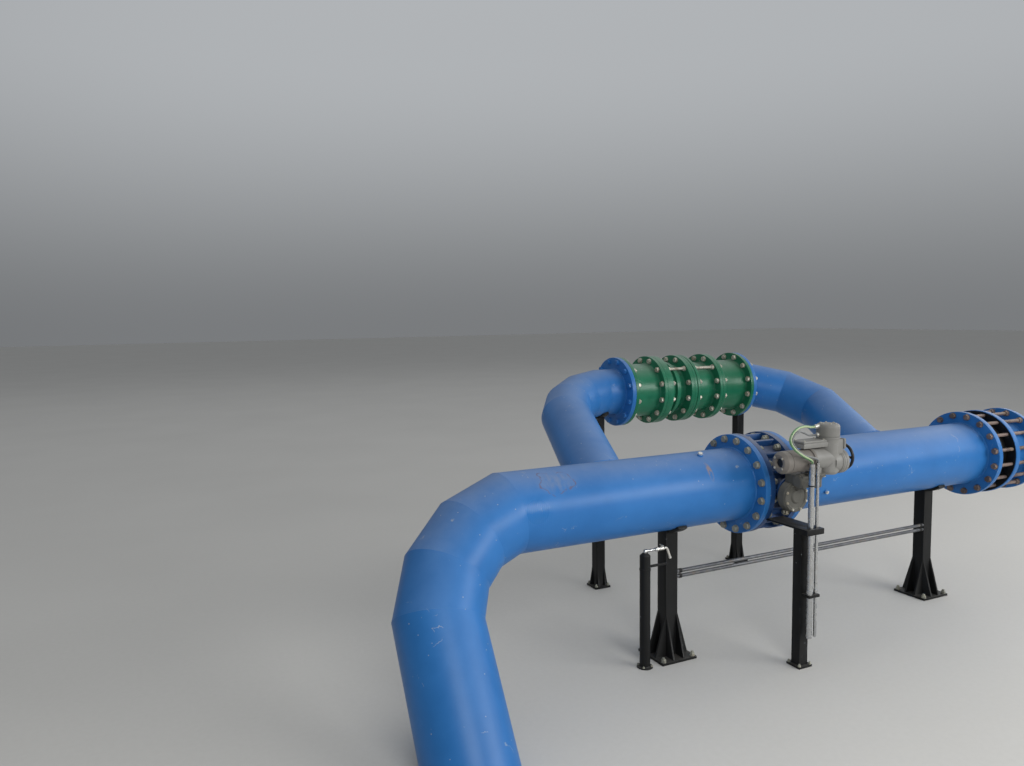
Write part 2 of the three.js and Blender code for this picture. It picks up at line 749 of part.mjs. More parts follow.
// Standpipe with a bib tap beside the inlet support, clipped to its column
const standpipeFoot = 38;
const standpipeFootThick = 6;
const crownFoot = 535;
const crownTop = 548;
const crownRadius = 12;
const pipeClip = { front: -45, back: -28, low: 465, high: 473 };
const crown = new THREE.CylinderGeometry(crownRadius, standpipeRadius, crownTop - crownFoot, roundSides);
crown.rotateX(Math.PI / 2);
crown.translate(standpipeX, standpipeY, (crownFoot + crownTop) / 2);
add("tap_standpipe", joined(
  upright(standpipeX, standpipeY, 0, standpipeFootThick, standpipeFoot),
  upright(standpipeX, standpipeY, 0, crownFoot, standpipeRadius),
  solidOf(crown),
  block(standpipeX, -columnWidth / 2 - gap, pipeClip.front, pipeClip.back, pipeClip.low, pipeClip.high),
), blackPaint);

const feedRadius = 6;
const feedRise = 8;
const collarRadius = 8.5;
const collarStart = -120;
const tapRadius = 7.5;
const tapStart = -108;
const tapEnd = -48;
const bonnetRadius = 5;
const bonnetTop = 563;
const spoutRadius = 6;
const spoutTip = vec(-31, standpipeY, 502);
add("tap_feed_pipe", joined(
  upright(standpipeX, standpipeY, crownTop, tapHeight, feedRise, smallSides),
  level(standpipeX, tapStart, standpipeY, tapHeight, feedRadius, smallSides),
  level(collarStart, tapStart, standpipeY, tapHeight, collarRadius, smallSides),
), zincTube);
add("tap_body", joined(
  level(tapStart, tapEnd, standpipeY, tapHeight, tapRadius, smallSides),
  upright(tapX, standpipeY, tapHeight, bonnetTop, bonnetRadius, smallSides),
  tube(vec(tapEnd - spoutRadius, standpipeY, tapHeight), spoutTip, spoutRadius, 0, yAxis, smallSides),
), platedTap);

const keyFoot = bonnetTop + gap;
const keyBar = { low: 568, high: 573, near: standpipeY - 14, far: standpipeY + 14, half: 3 };
const keyStem = 3.5;
add("tap_handle", joined(
  upright(tapX, standpipeY, keyFoot, keyBar.high - 1, keyStem, smallSides),
  block(tapX - keyBar.half, tapX + keyBar.half, keyBar.near, keyBar.far, keyBar.low, keyBar.high),
), platedTap);

export default group;
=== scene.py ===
# A pumping station pipe line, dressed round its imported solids. Metres, +Z up, +X along the flow,
# +Y towards the bypass; the origin is under the foot of the inlet support.

import math

import bmesh
import bpy
from mathutils import Matrix, Vector


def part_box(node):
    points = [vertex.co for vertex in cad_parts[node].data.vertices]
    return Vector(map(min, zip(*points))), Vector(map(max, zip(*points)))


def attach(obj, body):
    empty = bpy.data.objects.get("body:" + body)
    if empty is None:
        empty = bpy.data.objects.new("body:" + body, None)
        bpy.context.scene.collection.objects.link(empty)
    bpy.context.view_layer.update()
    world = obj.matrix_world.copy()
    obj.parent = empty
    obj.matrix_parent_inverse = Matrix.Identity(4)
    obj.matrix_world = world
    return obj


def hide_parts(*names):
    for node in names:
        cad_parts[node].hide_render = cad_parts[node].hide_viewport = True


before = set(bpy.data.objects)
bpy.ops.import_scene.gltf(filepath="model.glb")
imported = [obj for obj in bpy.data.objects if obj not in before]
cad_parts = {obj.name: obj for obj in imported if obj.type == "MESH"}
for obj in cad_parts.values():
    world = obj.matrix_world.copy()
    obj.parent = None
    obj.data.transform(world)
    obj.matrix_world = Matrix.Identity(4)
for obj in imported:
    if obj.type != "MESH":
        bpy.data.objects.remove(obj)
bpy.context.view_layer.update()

x_axis = Vector((1, 0, 0))
y_axis = Vector((0, 1, 0))
z_axis = Vector((0, 0, 1))
turn_up = (0, -math.pi / 2, 0)
turn_near = (0, 0, -math.pi / 2)


def lying(node):
    """Start, end, centre line and radius of a CAD piece that lies along X."""
    low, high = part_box(node)
    centre = (low + high) / 2
    return low.x, high.x, Vector((0, centre.y, centre.z)), (high.z - low.z) / 2


# Driving sizes of the two lines
main_outer = 0.1778
main_inner = 0.1698
main_elbow_start = -0.76
main_elbow_radius = 0.494
main_elbow_cuts = 4
leg_tilt = math.radians(34.7)
bypass_outer = 0.1365
bypass_inner = 0.1302
branch_foot = -0.339
branch_corner = -0.067
branch_radius = 0.461
branch_cuts = 4
return_corner = 1.763
return_foot = 1.425
return_radius = 0.397
return_cuts = 3

main_line = lying("valve_inlet_flange")[2]
bypass_line = lying("bypass_inlet_flange")[2]
valve_start, valve_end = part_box("valve_body")[0].x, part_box("valve_body")[1].x
valve_middle = (valve_start + valve_end) / 2
main_bolt_circle = 0.2225
main_bolts = 16
main_bolt = 0.02
bypass_bolt_circle = 0.1833
bypass_bolts = 12
bypass_bolt = 0.018

# Camera, solved from the straight lines in the picture
eye = Vector((-2.2613, -3.0032, 1.6493))
yaw = math.radians(25.6728)
pitch = math.radians(4.8844)
roll = math.radians(0.7605)
focal_pixels = 784.36
picture_width = 1024
sensor_width = 36.0


def set_camera():
    forward = Vector((math.sin(yaw) * math.cos(pitch), math.cos(yaw) * math.cos(pitch), -math.sin(pitch)))
    level = Vector((math.cos(yaw), -math.sin(yaw), 0))
    down = forward.cross(level)
    right = level * math.cos(roll) + down * math.sin(roll)
    up = level * math.sin(roll) - down * math.cos(roll)
    lens = bpy.data.cameras.new("camera")
    lens.sensor_width = sensor_width
    lens.lens = focal_pixels * sensor_width / picture_width
    lens.clip_end = 100
    camera = bpy.data.objects.new("camera", lens)
    turned = Matrix((right, up, -forward)).transposed().to_4x4()
    camera.matrix_world = Matrix.Translation(eye) @ turned
    bpy.context.scene.collection.objects.link(camera)
    bpy.context.scene.camera = camera


set_camera()


# Node trees: one output as a value that Python can add and multiply

class Socket:
    """One output in a node tree. Its operators add Math nodes, with plain numbers on either side."""

    def __init__(self, sheet, link):
        self.sheet = sheet
        self.link = link

    def other(self, name):
        return Socket(self.sheet, self.link.node.outputs[name])

    def __add__(self, value):
        return self.sheet.maths("ADD", self, value)

    def __radd__(self, value):
        return self.sheet.maths("ADD", value, self)

    def __sub__(self, value):
        return self.sheet.maths("SUBTRACT", self, value)

    def __rsub__(self, value):
        return self.sheet.maths("SUBTRACT", value, self)

    def __mul__(self, value):
        return self.sheet.maths("MULTIPLY", self, value)

    def __rmul__(self, value):
        return self.sheet.maths("MULTIPLY", value, self)

    def __truediv__(self, value):
        return self.sheet.maths("DIVIDE", self, value)

    def __rtruediv__(self, value):
        return self.sheet.maths("DIVIDE", value, self)


class Sheet:
    """A node tree, and the one way that nodes come onto it."""

    def __init__(self, tree):
        self.tree = tree

    def node(self, kind, settings=None, sockets=None, out=0):
        made = self.tree.nodes.new(kind)
        for name, value in (settings or {}).items():
            setattr(made, name, value)
        for name, value in (sockets or {}).items():
            if isinstance(value, Socket):
                self.tree.links.new(value.link, made.inputs[name])
            else:
                made.inputs[name].default_value = value
        return Socket(self, made.outputs[out]) if made.outputs else None

    def maths(self, operation, *values):
        return self.node("ShaderNodeMath", {"operation": operation}, dict(enumerate(values)))

    def vectors(self, operation, *values, out=0):
        return self.node("ShaderNodeVectorMath", {"operation": operation}, dict(enumerate(values)), out)

    def part(self, vector, axis):
        return self.node("ShaderNodeSeparateXYZ", None, {0: vector}, axis)

    def step(self, value, low, high):
        """0 at low and 1 at high, with a soft rise between; low may be the larger."""
        ends = {0: value, 1: low, 2: high}
        return self.node("ShaderNodeMapRange", {"interpolation_type": "SMOOTHSTEP"}, ends)

    def blend(self, factor, first, second):
        return self.node("ShaderNodeMix", {"data_type": "RGBA"}, {0: factor, 6: first, 7: second}, out=2)

    def noise(self, place, scale, detail=2.0, rough=0.5):
        values = {"Vector": place, "Scale": scale, "Detail": detail, "Roughness": rough}
        return self.node("ShaderNodeTexNoise", None, values)

    def cells(self, place, scale, feature="F1"):
        values = {"Vector": place, "Scale": scale}
        return self.node("ShaderNodeTexVoronoi", {"feature": feature}, values)

    def chance(self, cells):
        """A number from 0 to 1 for each cell."""
        return self.node("ShaderNodeSeparateColor", None, {0: cells.other("Color")}, out="Red")

    def stretched(self, place, along, across, upright):
        """The coordinates squeezed or stretched along each axis."""
        return self.vectors("MULTIPLY", place, (along, across, upright))

    def push(self, place, scale, detail, far):
        """A wandering shift of 0 to far along each axis, which bends what would run straight."""
        return self.stretched(self.noise(place, scale, detail).other("Color"), far, far, far)

    def spot(self, place, centre, reach):
        """1 round a point and 0 past its reach along X, Y and Z."""
        away = self.vectors("DIVIDE", self.vectors("SUBTRACT", place, centre), reach)
        return self.step(self.vectors("LENGTH", away, out="Value"), 1.0, 0.35)

    def ring(self, place, centre, reach):
        """1 on a thin outline round a point, halfway to its reach."""
        inside = self.spot(place, centre, reach)
        return self.step(inside, 0.42, 0.5) * self.step(inside, 0.62, 0.54)


def tint(red, green, blue):
    """A colour as seen on a screen, 0 to 255, in the linear values that shaders take."""
    def linear(value):
        share = value / 255
        return share / 12.92 if share <= 0.04045 else ((share + 0.055) / 1.055) ** 2.4
    return (linear(red), linear(green), linear(blue), 1.0)


# A pale grey for dust, which on enamel also paints a sheen on what faces up.
pale_grey = tint(156, 152, 146)
pale_chip = tint(172, 178, 184)
rust = tint(112, 74, 48)
dried_drip = tint(150, 128, 112)
zinc_stain = tint(138, 120, 96)


class Finish:
    """A material on one sheet, with what most of them start from."""

    def __init__(self, name):
        self.material = bpy.data.materials.new(name)
        self.material.use_nodes = True
        self.material.node_tree.nodes.clear()
        self.sheet = Sheet(self.material.node_tree)
        self.place = self.sheet.node("ShaderNodeTexCoord", out="Object")
        self.upward = self.sheet.part(self.sheet.node("ShaderNodeNewGeometry", out="Normal"), "Z")

    def close(self, colour, roughness, bumps, metallic=0.0, ior=1.5):
        """bumps is a height in metres."""
        normal = self.sheet.node("ShaderNodeBump", None, {"Height": bumps, "Distance": 1.0, "Strength": 1.0})
        values = {
            "Base Color": colour,
            "Roughness": roughness,
            "Metallic": metallic,
            "IOR": ior,
            "Normal": normal,
        }
        shader = self.sheet.node("ShaderNodeBsdfPrincipled", None, values)
        self.sheet.node("ShaderNodeOutputMaterial", None, {"Surface": shader})
        return self.material


def enamel(name, dark, light, gloss, dust_and_sheen, wear, grain=0.00002, extra=None):
    """Brushed enamel: uneven tone, a pale film on what faces up that is partly dust and partly a painted
    sheen, rubbed spots, fine scratches and orange peel.
    """
    look = Finish(name)
    sheet = look.sheet
    place = look.place
    broad = sheet.noise(place, 2.3, 3.0, 0.55)
    middle = sheet.noise(place, 14.0, 3.0, 0.6)
    fine = sheet.noise(place, 90.0, 2.0, 0.6)
    colour = sheet.blend(sheet.step(broad * 0.7 + middle * 0.3, 0.3, 0.7), dark, light)

    # Rubbed pale spots and specks, far apart; a surface with more wear has more of them
    bent = sheet.vectors("ADD", sheet.stretched(place, 1.0, 1.0, 0.6), sheet.push(place, 30.0, 2.0, 0.05))
    large = sheet.cells(bent, 9.0)
    large_chosen = sheet.step(sheet.chance(large), 1.0 - 0.3 * wear, 1.0 - 0.25 * wear)
    spots = sheet.step(large, 0.10, 0.05) * large_chosen
    small = sheet.cells(place, 55.0)
    small_chosen = sheet.step(sheet.chance(small), 1.0 - 0.10 * wear, 1.0 - 0.09 * wear)
    specks = sheet.step(small, 0.16, 0.10) * small_chosen

    # Scratches are short stretches of thin crooked lines
    lines = sheet.cells(sheet.stretched(bent, 0.5, 1.0, 1.4), 3.1, "DISTANCE_TO_EDGE")
    scratches = sheet.step(lines, 0.004, 0.0015) * sheet.step(middle, 0.56, 0.62) * wear
    knocks = sheet.maths("MAXIMUM", spots * 0.55, specks * 0.75)
    knocks = sheet.maths("MAXIMUM", knocks, scratches * 0.6)
    colour = sheet.blend(knocks, colour, pale_chip)

    # What faces up is made paler: partly dust, partly a painted sheen of the sky on the tops.
    patchiness = 0.5 + sheet.step(middle * 0.5 + broad * 0.5, 0.3, 0.75) * 0.5
    paler_on_top = sheet.step(look.upward, 0.45, 1.0) * patchiness * dust_and_sheen
    colour = sheet.blend(paler_on_top, colour, pale_grey)
    roughness = gloss + broad * 0.08 + paler_on_top * 0.4 + knocks * 0.15
    orange_peel = 0.0003
    scratch_depth = 0.00005
    bumps = fine * grain + sheet.noise(place, 6.0, 1.0) * orange_peel - scratches * scratch_depth
    if extra:
        colour, roughness, bumps = extra(look, colour, roughness, bumps)
    return look.close(colour, roughness, bumps, ior=1.38)


# Places of the large line's own marks, each with its reach along X, Y and Z
drip_centre = (0.136, -0.138, 0.912)
drip_reach = (0.018, 0.06, 0.06)
patch_centre = (-0.67, -0.1, 0.94)
patch_reach = (0.12, 0.1, 0.07)
patch_bend = 0.11
roller_step = 0.009
roller_centre = (-0.79, -0.17, 0.84)
roller_reach = (0.1, 0.08, 0.1)


def line_marks(look, colour, roughness, bumps):
    """The marks that only the large line carries: drips, a stained patch, roller marks by the elbow."""
    sheet = look.sheet
    place = look.place
    ragged = sheet.noise(sheet.stretched(place, 1.0, 0.4, 0.4), 60.0, 3.0)
    edges = sheet.step(ragged, 0.40, 0.55)
    drip = sheet.spot(place, drip_centre, drip_reach) * edges
    colour = sheet.blend(drip * 0.75, colour, dried_drip)
    patch = sheet.spot(place, patch_centre, patch_reach)
    colour = sheet.blend(patch * 0.25 * sheet.step(ragged, 0.3, 0.7), colour, pale_grey)
    crooked = sheet.vectors("ADD", place, sheet.push(place, 11.0, 3.0, patch_bend))
    bent_centre = [value + patch_bend / 2 for value in patch_centre]
    rims = sheet.ring(crooked, bent_centre, patch_reach) * edges
    colour = sheet.blend(rims * 0.5, colour, rust)
    ripples = sheet.maths("SINE", sheet.part(place, "X") * (math.tau / roller_step))
    rolled = sheet.spot(place, roller_centre, roller_reach)
    bumps = bumps + ripples * rolled * 0.00016
    return colour, roughness + rims * 0.2 - rolled * 0.16, bumps


def bare_metal(name, dark, light, roughness, grime, spangle=60.0, metal=1.0):
    """Zinc or steel: patches of crystal, dull stains and a little brown. Oxidised, it is less of a metal."""
    look = Finish(name)
    sheet = look.sheet
    shade = sheet.chance(sheet.cells(look.place, spangle))
    broad = sheet.noise(look.place, 9.0, 3.0, 0.6)
    stain = sheet.step(sheet.noise(look.place, 26.0, 3.0, 0.6), 0.5, 0.68) * grime
    colour = sheet.blend(shade * 0.6 + broad * 0.4, dark, light)
    colour = sheet.blend(stain, colour, zinc_stain)
    rough = roughness + shade * 0.12 + stain * 0.3
    bumps = sheet.noise(look.place, 320.0, 2.0) * 0.00001 + shade * 0.000006
    return look.close(colour, rough, bumps, metallic=metal - stain * (0.7 * metal))


def cast_plastic(name, dark, light, roughness, grain):
    """Moulded plastic or rubber with a fine grain and a little dust on top."""
    look = Finish(name)
    sheet = look.sheet
    broad = sheet.noise(look.place, 12.0, 3.0, 0.6)
    paler_on_top = sheet.step(look.upward, 0.4, 1.0) * sheet.step(broad, 0.35, 0.7) * 0.35
    colour = sheet.blend(paler_on_top, sheet.blend(broad, dark, light), pale_grey)
    bumps = sheet.cells(look.place, 700.0) * grain
    return look.close(colour, roughness + paler_on_top * 0.3 + broad * 0.08, bumps)


def striped_sheath(name, ground, stripe):
    """A two-colour cable: the stripe runs along it, by the attribute that the sweep stores round it."""
    look = Finish(name)
    sheet = look.sheet
    around = sheet.node("ShaderNodeAttribute", {"attribute_name": "around"}, out="Fac")
    wave = sheet.maths("SINE", around * (2 * math.tau))
    broad = sheet.noise(look.place, 40.0, 2.0)
    colour = sheet.blend(sheet.step(wave, -0.15, 0.15), ground, stripe)
    colour = sheet.blend(sheet.step(broad, 0.5, 0.8) * 0.5, colour, pale_grey)
    return look.close(colour, 0.45 + broad * 0.15, sheet.noise(look.place, 300.0) * 0.00002)


materials = {
    "blue_paint": enamel(
        "blue enamel", tint(38, 105, 172), tint(48, 116, 185),
        gloss=0.36, dust_and_sheen=0.3, wear=0.8, extra=line_marks),
    "blue_casting": enamel(
        "blue casting enamel", tint(24, 58, 106), tint(36, 76, 128),
        gloss=0.38, dust_and_sheen=0.5, wear=0.6, grain=0.00008),
    "green_paint": enamel(
        "green enamel", tint(24, 98, 68), tint(42, 122, 92),
        gloss=0.26, dust_and_sheen=0.4, wear=0.4, grain=0.00005),
    "black_paint": enamel(
        "black enamel", tint(9, 10, 11), tint(19, 20, 21),
        gloss=0.45, dust_and_sheen=0.16, wear=0.25),
    "grey_paint": enamel(
        "grey coating", tint(118, 117, 114), tint(146, 145, 142),
        gloss=0.42, dust_and_sheen=0.35, wear=0.3, grain=0.00007),
    "motor_paint": enamel(
        "motor coating", tint(98, 93, 88), tint(126, 121, 116),
        gloss=0.45, dust_and_sheen=0.35, wear=0.3, grain=0.00007),
    "gearbox_paint": enamel(
        "gearbox coating", tint(84, 83, 78), tint(110, 109, 103),
        gloss=0.5, dust_and_sheen=0.35, wear=0.3, grain=0.00012),
    "galvanised_tube": bare_metal(
        "galvanised tube", tint(178, 180, 182), tint(200, 201, 202),
        roughness=0.2, grime=0.15, spangle=45.0),
    "dull_tube": bare_metal(
        "dull tube", tint(84, 86, 90), tint(122, 124, 128),
        roughness=0.42, grime=0.35, spangle=45.0, metal=0.6),
    "zinc_bolt": bare_metal(
        "zinc bolts", tint(168, 164, 150), tint(216, 212, 200),
        roughness=0.42, grime=0.6, metal=0.55),
    "dull_bolt": bare_metal(
        "dull bolts", tint(122, 122, 114), tint(180, 180, 166),
        roughness=0.45, grime=0.35, spangle=14.0, metal=0.5),
    "rusty_bolt": bare_metal(
        "rusty bolts", tint(78, 66, 64), tint(150, 132, 124),
        roughness=0.5, grime=0.6, spangle=14.0, metal=0.4),
    "bright_metal": bare_metal(
        "bright plating", tint(206, 204, 196), tint(236, 234, 228),
        roughness=0.26, grime=0.2, metal=0.7),
    "black_plastic": cast_plastic(
        "black plastic", tint(14, 14, 15), tint(28, 28, 30),
        roughness=0.42, grain=0.00002),
    "green_sheath": striped_sheath("striped sheath", tint(92, 132, 94), tint(168, 184, 142)),
    "grey_sheath": cast_plastic(
        "grey sheath", tint(96, 98, 100), tint(130, 132, 134),
        roughness=0.45, grain=0.00001),
}


# Meshes: outlines turned about a line, blocks, and pipes cut at both ends

def aimed(point, direction):
    """Takes the local X axis to a direction, and the local origin to a point."""
    return Matrix.Translation(point) @ x_axis.rotation_difference(Vector(direction)).to_matrix().to_4x4()


def softened(outline, radius, steps=3):
    """A closed outline of (along, radius) points, its corners rounded. A third number is a corner's own."""
    rounded = []
    for k, corner in enumerate(outline):
        here = Vector(corner[:2])
        back = Vector(outline[k - 1][:2]) - here
        ahead = Vector(outline[(k + 1) % len(outline)][:2]) - here
        own = corner[2] if len(corner) > 2 else radius
        if own == 0 or here.y < 1e-6:
            rounded.append(here)
            continue
        reach = min(own / math.tan(back.angle(ahead) / 2), 0.45 * back.length, 0.45 * ahead.length)
        start = here + back.normalized() * reach
        end = here + ahead.normalized() * reach
        for i in range(steps + 1):
            share = i / steps
            rounded.append(start * (1 - share) ** 2 + here * (2 * share * (1 - share)) + end * share ** 2)
    return rounded


def turn(bm, outline, place=Matrix(), sides=96):
    """Turns a closed outline of (along, radius) points about the local X axis."""
    rings = []
    for along, radius in outline:
        if radius < 1e-6:
            rings.append([bm.verts.new(place @ Vector((along, 0, 0)))])
            continue
        angles = [math.tau * k / sides for k in range(sides)]
        rings.append([bm.verts.new(place @ Vector((along, radius * math.cos(a), radius * math.sin(a))))
                      for a in angles])
    for first, second in zip(rings, rings[1:] + rings[:1]):
        if len(first) == len(second) == 1:
            continue
        for k in range(sides):
            m = (k + 1) % sides
            near = [first[k % len(first)], first[m % len(first)]]
            far = [second[m % len(second)], second[k % len(second)]]
            bm.faces.new(list(dict.fromkeys(near + far)))


def turned(bm, outline, edge, place=Matrix(), sides=96, steps=3):
    """Turns an outline whose corners are softened first, and gives the mesh back."""
    turn(bm, softened(outline, edge, steps), place, sides)
    return bm


def bar(bm, start, end, radius, place=Matrix(), sides=48, edge=0.0015):
    """A solid round bar along the local X axis, with softened rims."""
    return turned(bm, [(start, 0), (start, radius), (end, radius), (end, 0)], edge, place, sides)


def band(bm, start, end, inner, outer, place, sides, edge=0.0006, steps=1):
    """A thin sleeve along the local X axis."""
    return turned(bm, [(start, inner), (start, outer), (end, outer), (end, inner)], edge, place, sides, steps)


def block(bm, low, high, edge=0.002, place=Matrix()):
    cube = bmesh.ops.create_cube(bm, size=1.0)["verts"]
    size = Vector(high) - Vector(low)
    middle = Matrix.Translation((Vector(high) + Vector(low)) / 2)
    bmesh.ops.transform(bm, verts=cube, matrix=place @ middle @ Matrix.Diagonal((*size, 1)))
    edges = list(dict.fromkeys(e for v in cube for e in v.link_edges))
    bmesh.ops.bevel(bm, geom=edges, offset=edge, segments=2, profile=0.5, affect="EDGES", clamp_overlap=True)


def mesh_from(bm, name):
    bmesh.ops.recalc_face_normals(bm, faces=bm.faces[:])
    mesh = bpy.data.meshes.new(name)
    bm.to_mesh(mesh)
    bm.free()
    return mesh


def shade(mesh, sharp=32):
    """Smooth shading, with an edge kept where two faces meet at more than the angle."""
    bm = bmesh.new()
    bm.from_mesh(mesh)
    limit = math.radians(sharp)
    for face in bm.faces:
        face.smooth = True
    for edge in bm.edges:
        edge.smooth = len(edge.link_faces) == 2 and edge.calc_face_angle(0) < limit
    bm.to_mesh(mesh)
    bm.free()


def fit(piece, finish, instead=(), body="pipework"):
    """Paints a piece, and says what it rides on and which solids it stands for."""
    piece.data.materials.clear()
    piece.data.materials.append(materials[finish])
    shade(piece.data)
    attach(piece, body)
    if instead:
        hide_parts(*instead)
    return piece


def placed(name, mesh):
    piece = bpy.data.objects.new(name, mesh)
    bpy.context.scene.collection.objects.link(piece)
    return piece


def stand_for(node, bm, finish, body="pipework"):
    """The fine piece that is seen in a CAD solid's place."""
    return fit(placed(f"{node}_fine", mesh_from(bm, f"{node}_fine")), finish, [node], body)


def add_piece(name, bm, finish, body="pipework"):
    return fit(placed(name, mesh_from(bm, name)), finish, (), body)


def softened_copy(node, finish, edge=0.0015):
    """A CAD solid with its flat faces joined up and its edges softened."""
    bm = bmesh.new()
    bm.from_mesh(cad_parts[node].data)
    bmesh.ops.remove_doubles(bm, verts=bm.verts[:], dist=1e-5)
    bmesh.ops.dissolve_limit(bm, angle_limit=math.radians(1), verts=bm.verts[:], edges=bm.edges[:])
    sharp = [e for e in bm.edges if len(e.link_faces) == 2 and e.calc_face_angle(0) > math.radians(30)]
    bmesh.ops.bevel(bm, geom=sharp, offset=edge, segments=2, profile=0.5, affect="EDGES", clamp_overlap=True)
    return stand_for(node, bm, finish)


def carved(piece, cutter):
    """Cuts one closed mesh out of another, and drops the cutter."""
    cut = piece.modifiers.new("cut", "BOOLEAN")
    cut.operation = "DIFFERENCE"
    cut.solver = "EXACT"
    cut.object = cutter
    bpy.context.view_layer.update()
    result = bpy.data.meshes.new_from_object(piece.evaluated_get(bpy.context.evaluated_depsgraph_get()))
    piece.modifiers.clear()
    piece.data = result
    bpy.data.objects.remove(cutter)
    return piece


# Geometry Nodes: copies set round a circle, and round stock run along a path

def new_tree(name, inputs):
    tree = bpy.data.node_groups.new(name, "GeometryNodeTree")
    tree.interface.new_socket("Piece", in_out="INPUT", socket_type="NodeSocketGeometry")
    for label, kind in inputs.items():
        tree.interface.new_socket(label, in_out="INPUT", socket_type=f"NodeSocket{kind}")
    tree.interface.new_socket("Piece", in_out="OUTPUT", socket_type="NodeSocketGeometry")
    sheet = Sheet(tree)
    return sheet, sheet.node("NodeGroupInput")


def end_tree(sheet, geometry, finish):
    real = sheet.node("GeometryNodeRealizeInstances", None, {0: geometry})
    coloured = sheet.node("GeometryNodeSetMaterial", None, {"Geometry": real, "Material": finish})
    sheet.node("NodeGroupOutput", None, {0: coloured})
    return sheet.tree


def circle_tree():
    """Sets copies of the piece round a circle, each turned outward and given a seeded roll of its own."""
    sheet, given = new_tree("set round a circle", {
        "Count": "Int", "Radius": "Float", "Turn": "Float", "Roll": "Float", "Seed": "Int",
        "Place": "Vector", "Aim": "Vector", "Finish": "Material"})
    index = sheet.node("GeometryNodeInputIndex")
    angle = index * (math.tau / given.other("Count")) + given.other("Turn")
    spot = sheet.node("ShaderNodeCombineXYZ", None, {
        "Y": sheet.maths("COSINE", angle) * given.other("Radius"),
        "Z": sheet.maths("SINE", angle) * given.other("Radius")})
    points = sheet.node("GeometryNodePoints", None, {"Count": given.other("Count"), "Position": spot})
    roll = sheet.node("FunctionNodeRandomValue", {"data_type": "FLOAT"}, {
        2: 0.0, 3: given.other("Roll"), "Seed": given.other("Seed")}, out=1)
    spin = sheet.node("ShaderNodeCombineXYZ", None, {"X": angle + roll})
    copies = sheet.node("GeometryNodeInstanceOnPoints", None, {
        "Points": points, "Instance": given.other("Piece"), "Rotation": spin})
    real = sheet.node("GeometryNodeRealizeInstances", None, {0: copies})
    put = sheet.node("GeometryNodeTransform", None, {
        "Geometry": real, "Translation": given.other("Place"), "Rotation": given.other("Aim")})
    return end_tree(sheet, put, given.other("Finish"))


def run_tree():
    """Round stock along the piece's own edges: a cable, a threaded rod, or a weld bead with its ripples."""
    sheet, given = new_tree("round stock on a path", {
        "Radius": "Float", "Step": "Float", "Ripple": "Float", "Uneven": "Float", "Sides": "Int",
        "Seed": "Int", "Finish": "Material"})
    path = sheet.node("GeometryNodeMeshToCurve", None, {"Mesh": given.other("Piece")})
    even = sheet.node("GeometryNodeResampleCurve", {"mode": "LENGTH"}, {
        "Curve": path, "Length": given.other("Step")})
    index = sheet.node("GeometryNodeInputIndex")
    odd = sheet.maths("MODULO", index, 2.0)
    chance = sheet.node("FunctionNodeRandomValue", {"data_type": "FLOAT"}, {
        2: 0.0, 3: given.other("Uneven"), "Seed": given.other("Seed")}, out=1)
    thickness = 1.0 - odd * given.other("Ripple") - chance
    profile = sheet.node("GeometryNodeCurvePrimitiveCircle", None, {
        "Resolution": given.other("Sides"), "Radius": given.other("Radius")})
    factor = sheet.node("GeometryNodeSplineParameter")
    marked = sheet.node("GeometryNodeStoreNamedAttribute", {"data_type": "FLOAT", "domain": "POINT"}, {
        "Geometry": profile, "Name": "around", "Value": factor})
    swept = sheet.node("GeometryNodeCurveToMesh", None, {
        "Curve": even, "Profile Curve": marked, "Scale": thickness, "Fill Caps": True})
    return end_tree(sheet, swept, given.other("Finish"))


round_circle = circle_tree()
on_path = run_tree()


def grown(name, mesh, tree, inputs, finish, body="pipework", instead=()):
    """Runs a tree on a mesh and keeps what comes out as a plain piece."""
    piece = placed(name, mesh)
    growth = piece.modifiers.new("grown", "NODES")
    growth.node_group = tree
    values = {**inputs, "Finish": materials[finish]}
    for item in tree.interface.items_tree:
        if item.in_out == "INPUT" and item.name in values:
            growth[item.identifier] = values[item.name]
    bpy.context.view_layer.update()
    result = bpy.data.meshes.new_from_object(piece.evaluated_get(bpy.context.evaluated_depsgraph_get()))
    piece.modifiers.clear()
    piece.data = result
    return fit(piece, finish, instead, body)


def set_round(name, bm, count, radius, place, finish, first=None, roll=0.0, aim=(0, 0, 0), seed=1,
              body="pipework"):
    """first is the angle of the first copy from the local Y axis; left out, the copies straddle both axes."""
    inputs = {
        "Count": count,
        "Radius": float(radius),
        "Turn": float(math.pi / count if first is None else first),
        "Roll": float(roll),
        "Seed": seed,
        "Place": tuple(place),
        "Aim": aim,
    }
    return grown(name, mesh_from(bm, name), round_circle, inputs, finish, body)


def path_mesh(name, paths, closed):
    mesh = bpy.data.meshes.new(name)
    points = []
    edges = []
    for path in paths:
        first = len(points)
        points += [tuple(p) for p in path]
        edges += [(first + k, first + k + 1) for k in range(len(path) - 1)]
        if closed:
            edges.append((len(points) - 1, first))
    mesh.from_pydata(points, edges, [])
    return mesh


def run_along(name, paths, radius, finish, step=0.006, ripple=0.0, uneven=0.0, sides=12, closed=False, seed=1,
              instead=(), body="pipework"):
    inputs = {
        "Radius": float(radius),
        "Step": float(step),
        "Ripple": float(ripple),
        "Uneven": float(uneven),
        "Sides": sides,
        "Seed": seed,
    }
    return grown(name, path_mesh(name, paths, closed), on_path, inputs, finish, body, instead)


def smooth_path(points, steps=10):
    """A soft curve through points, one stretch between each two."""
    ends = [points[0] * 2 - points[1], *points, points[-1] * 2 - points[-2]]
    path = [points[0]]
    for before, start, end, after in zip(ends, ends[1:], ends[2:], ends[3:]):
        for k in range(1, steps + 1):
            t = k / steps
            path.append(0.5 * (2 * start + (end - before) * t
                               + (2 * before - 5 * start + 4 * end - after) * t ** 2
                               + (3 * start - before - 3 * end + after) * t ** 3))
    return path


# Pipes: walls between two cuts, where a cut says how far along each line of the wall it lies

def flat_cut(point, normal):
    return lambda start, direction: (point - start).dot(normal) / direction.dot(normal)


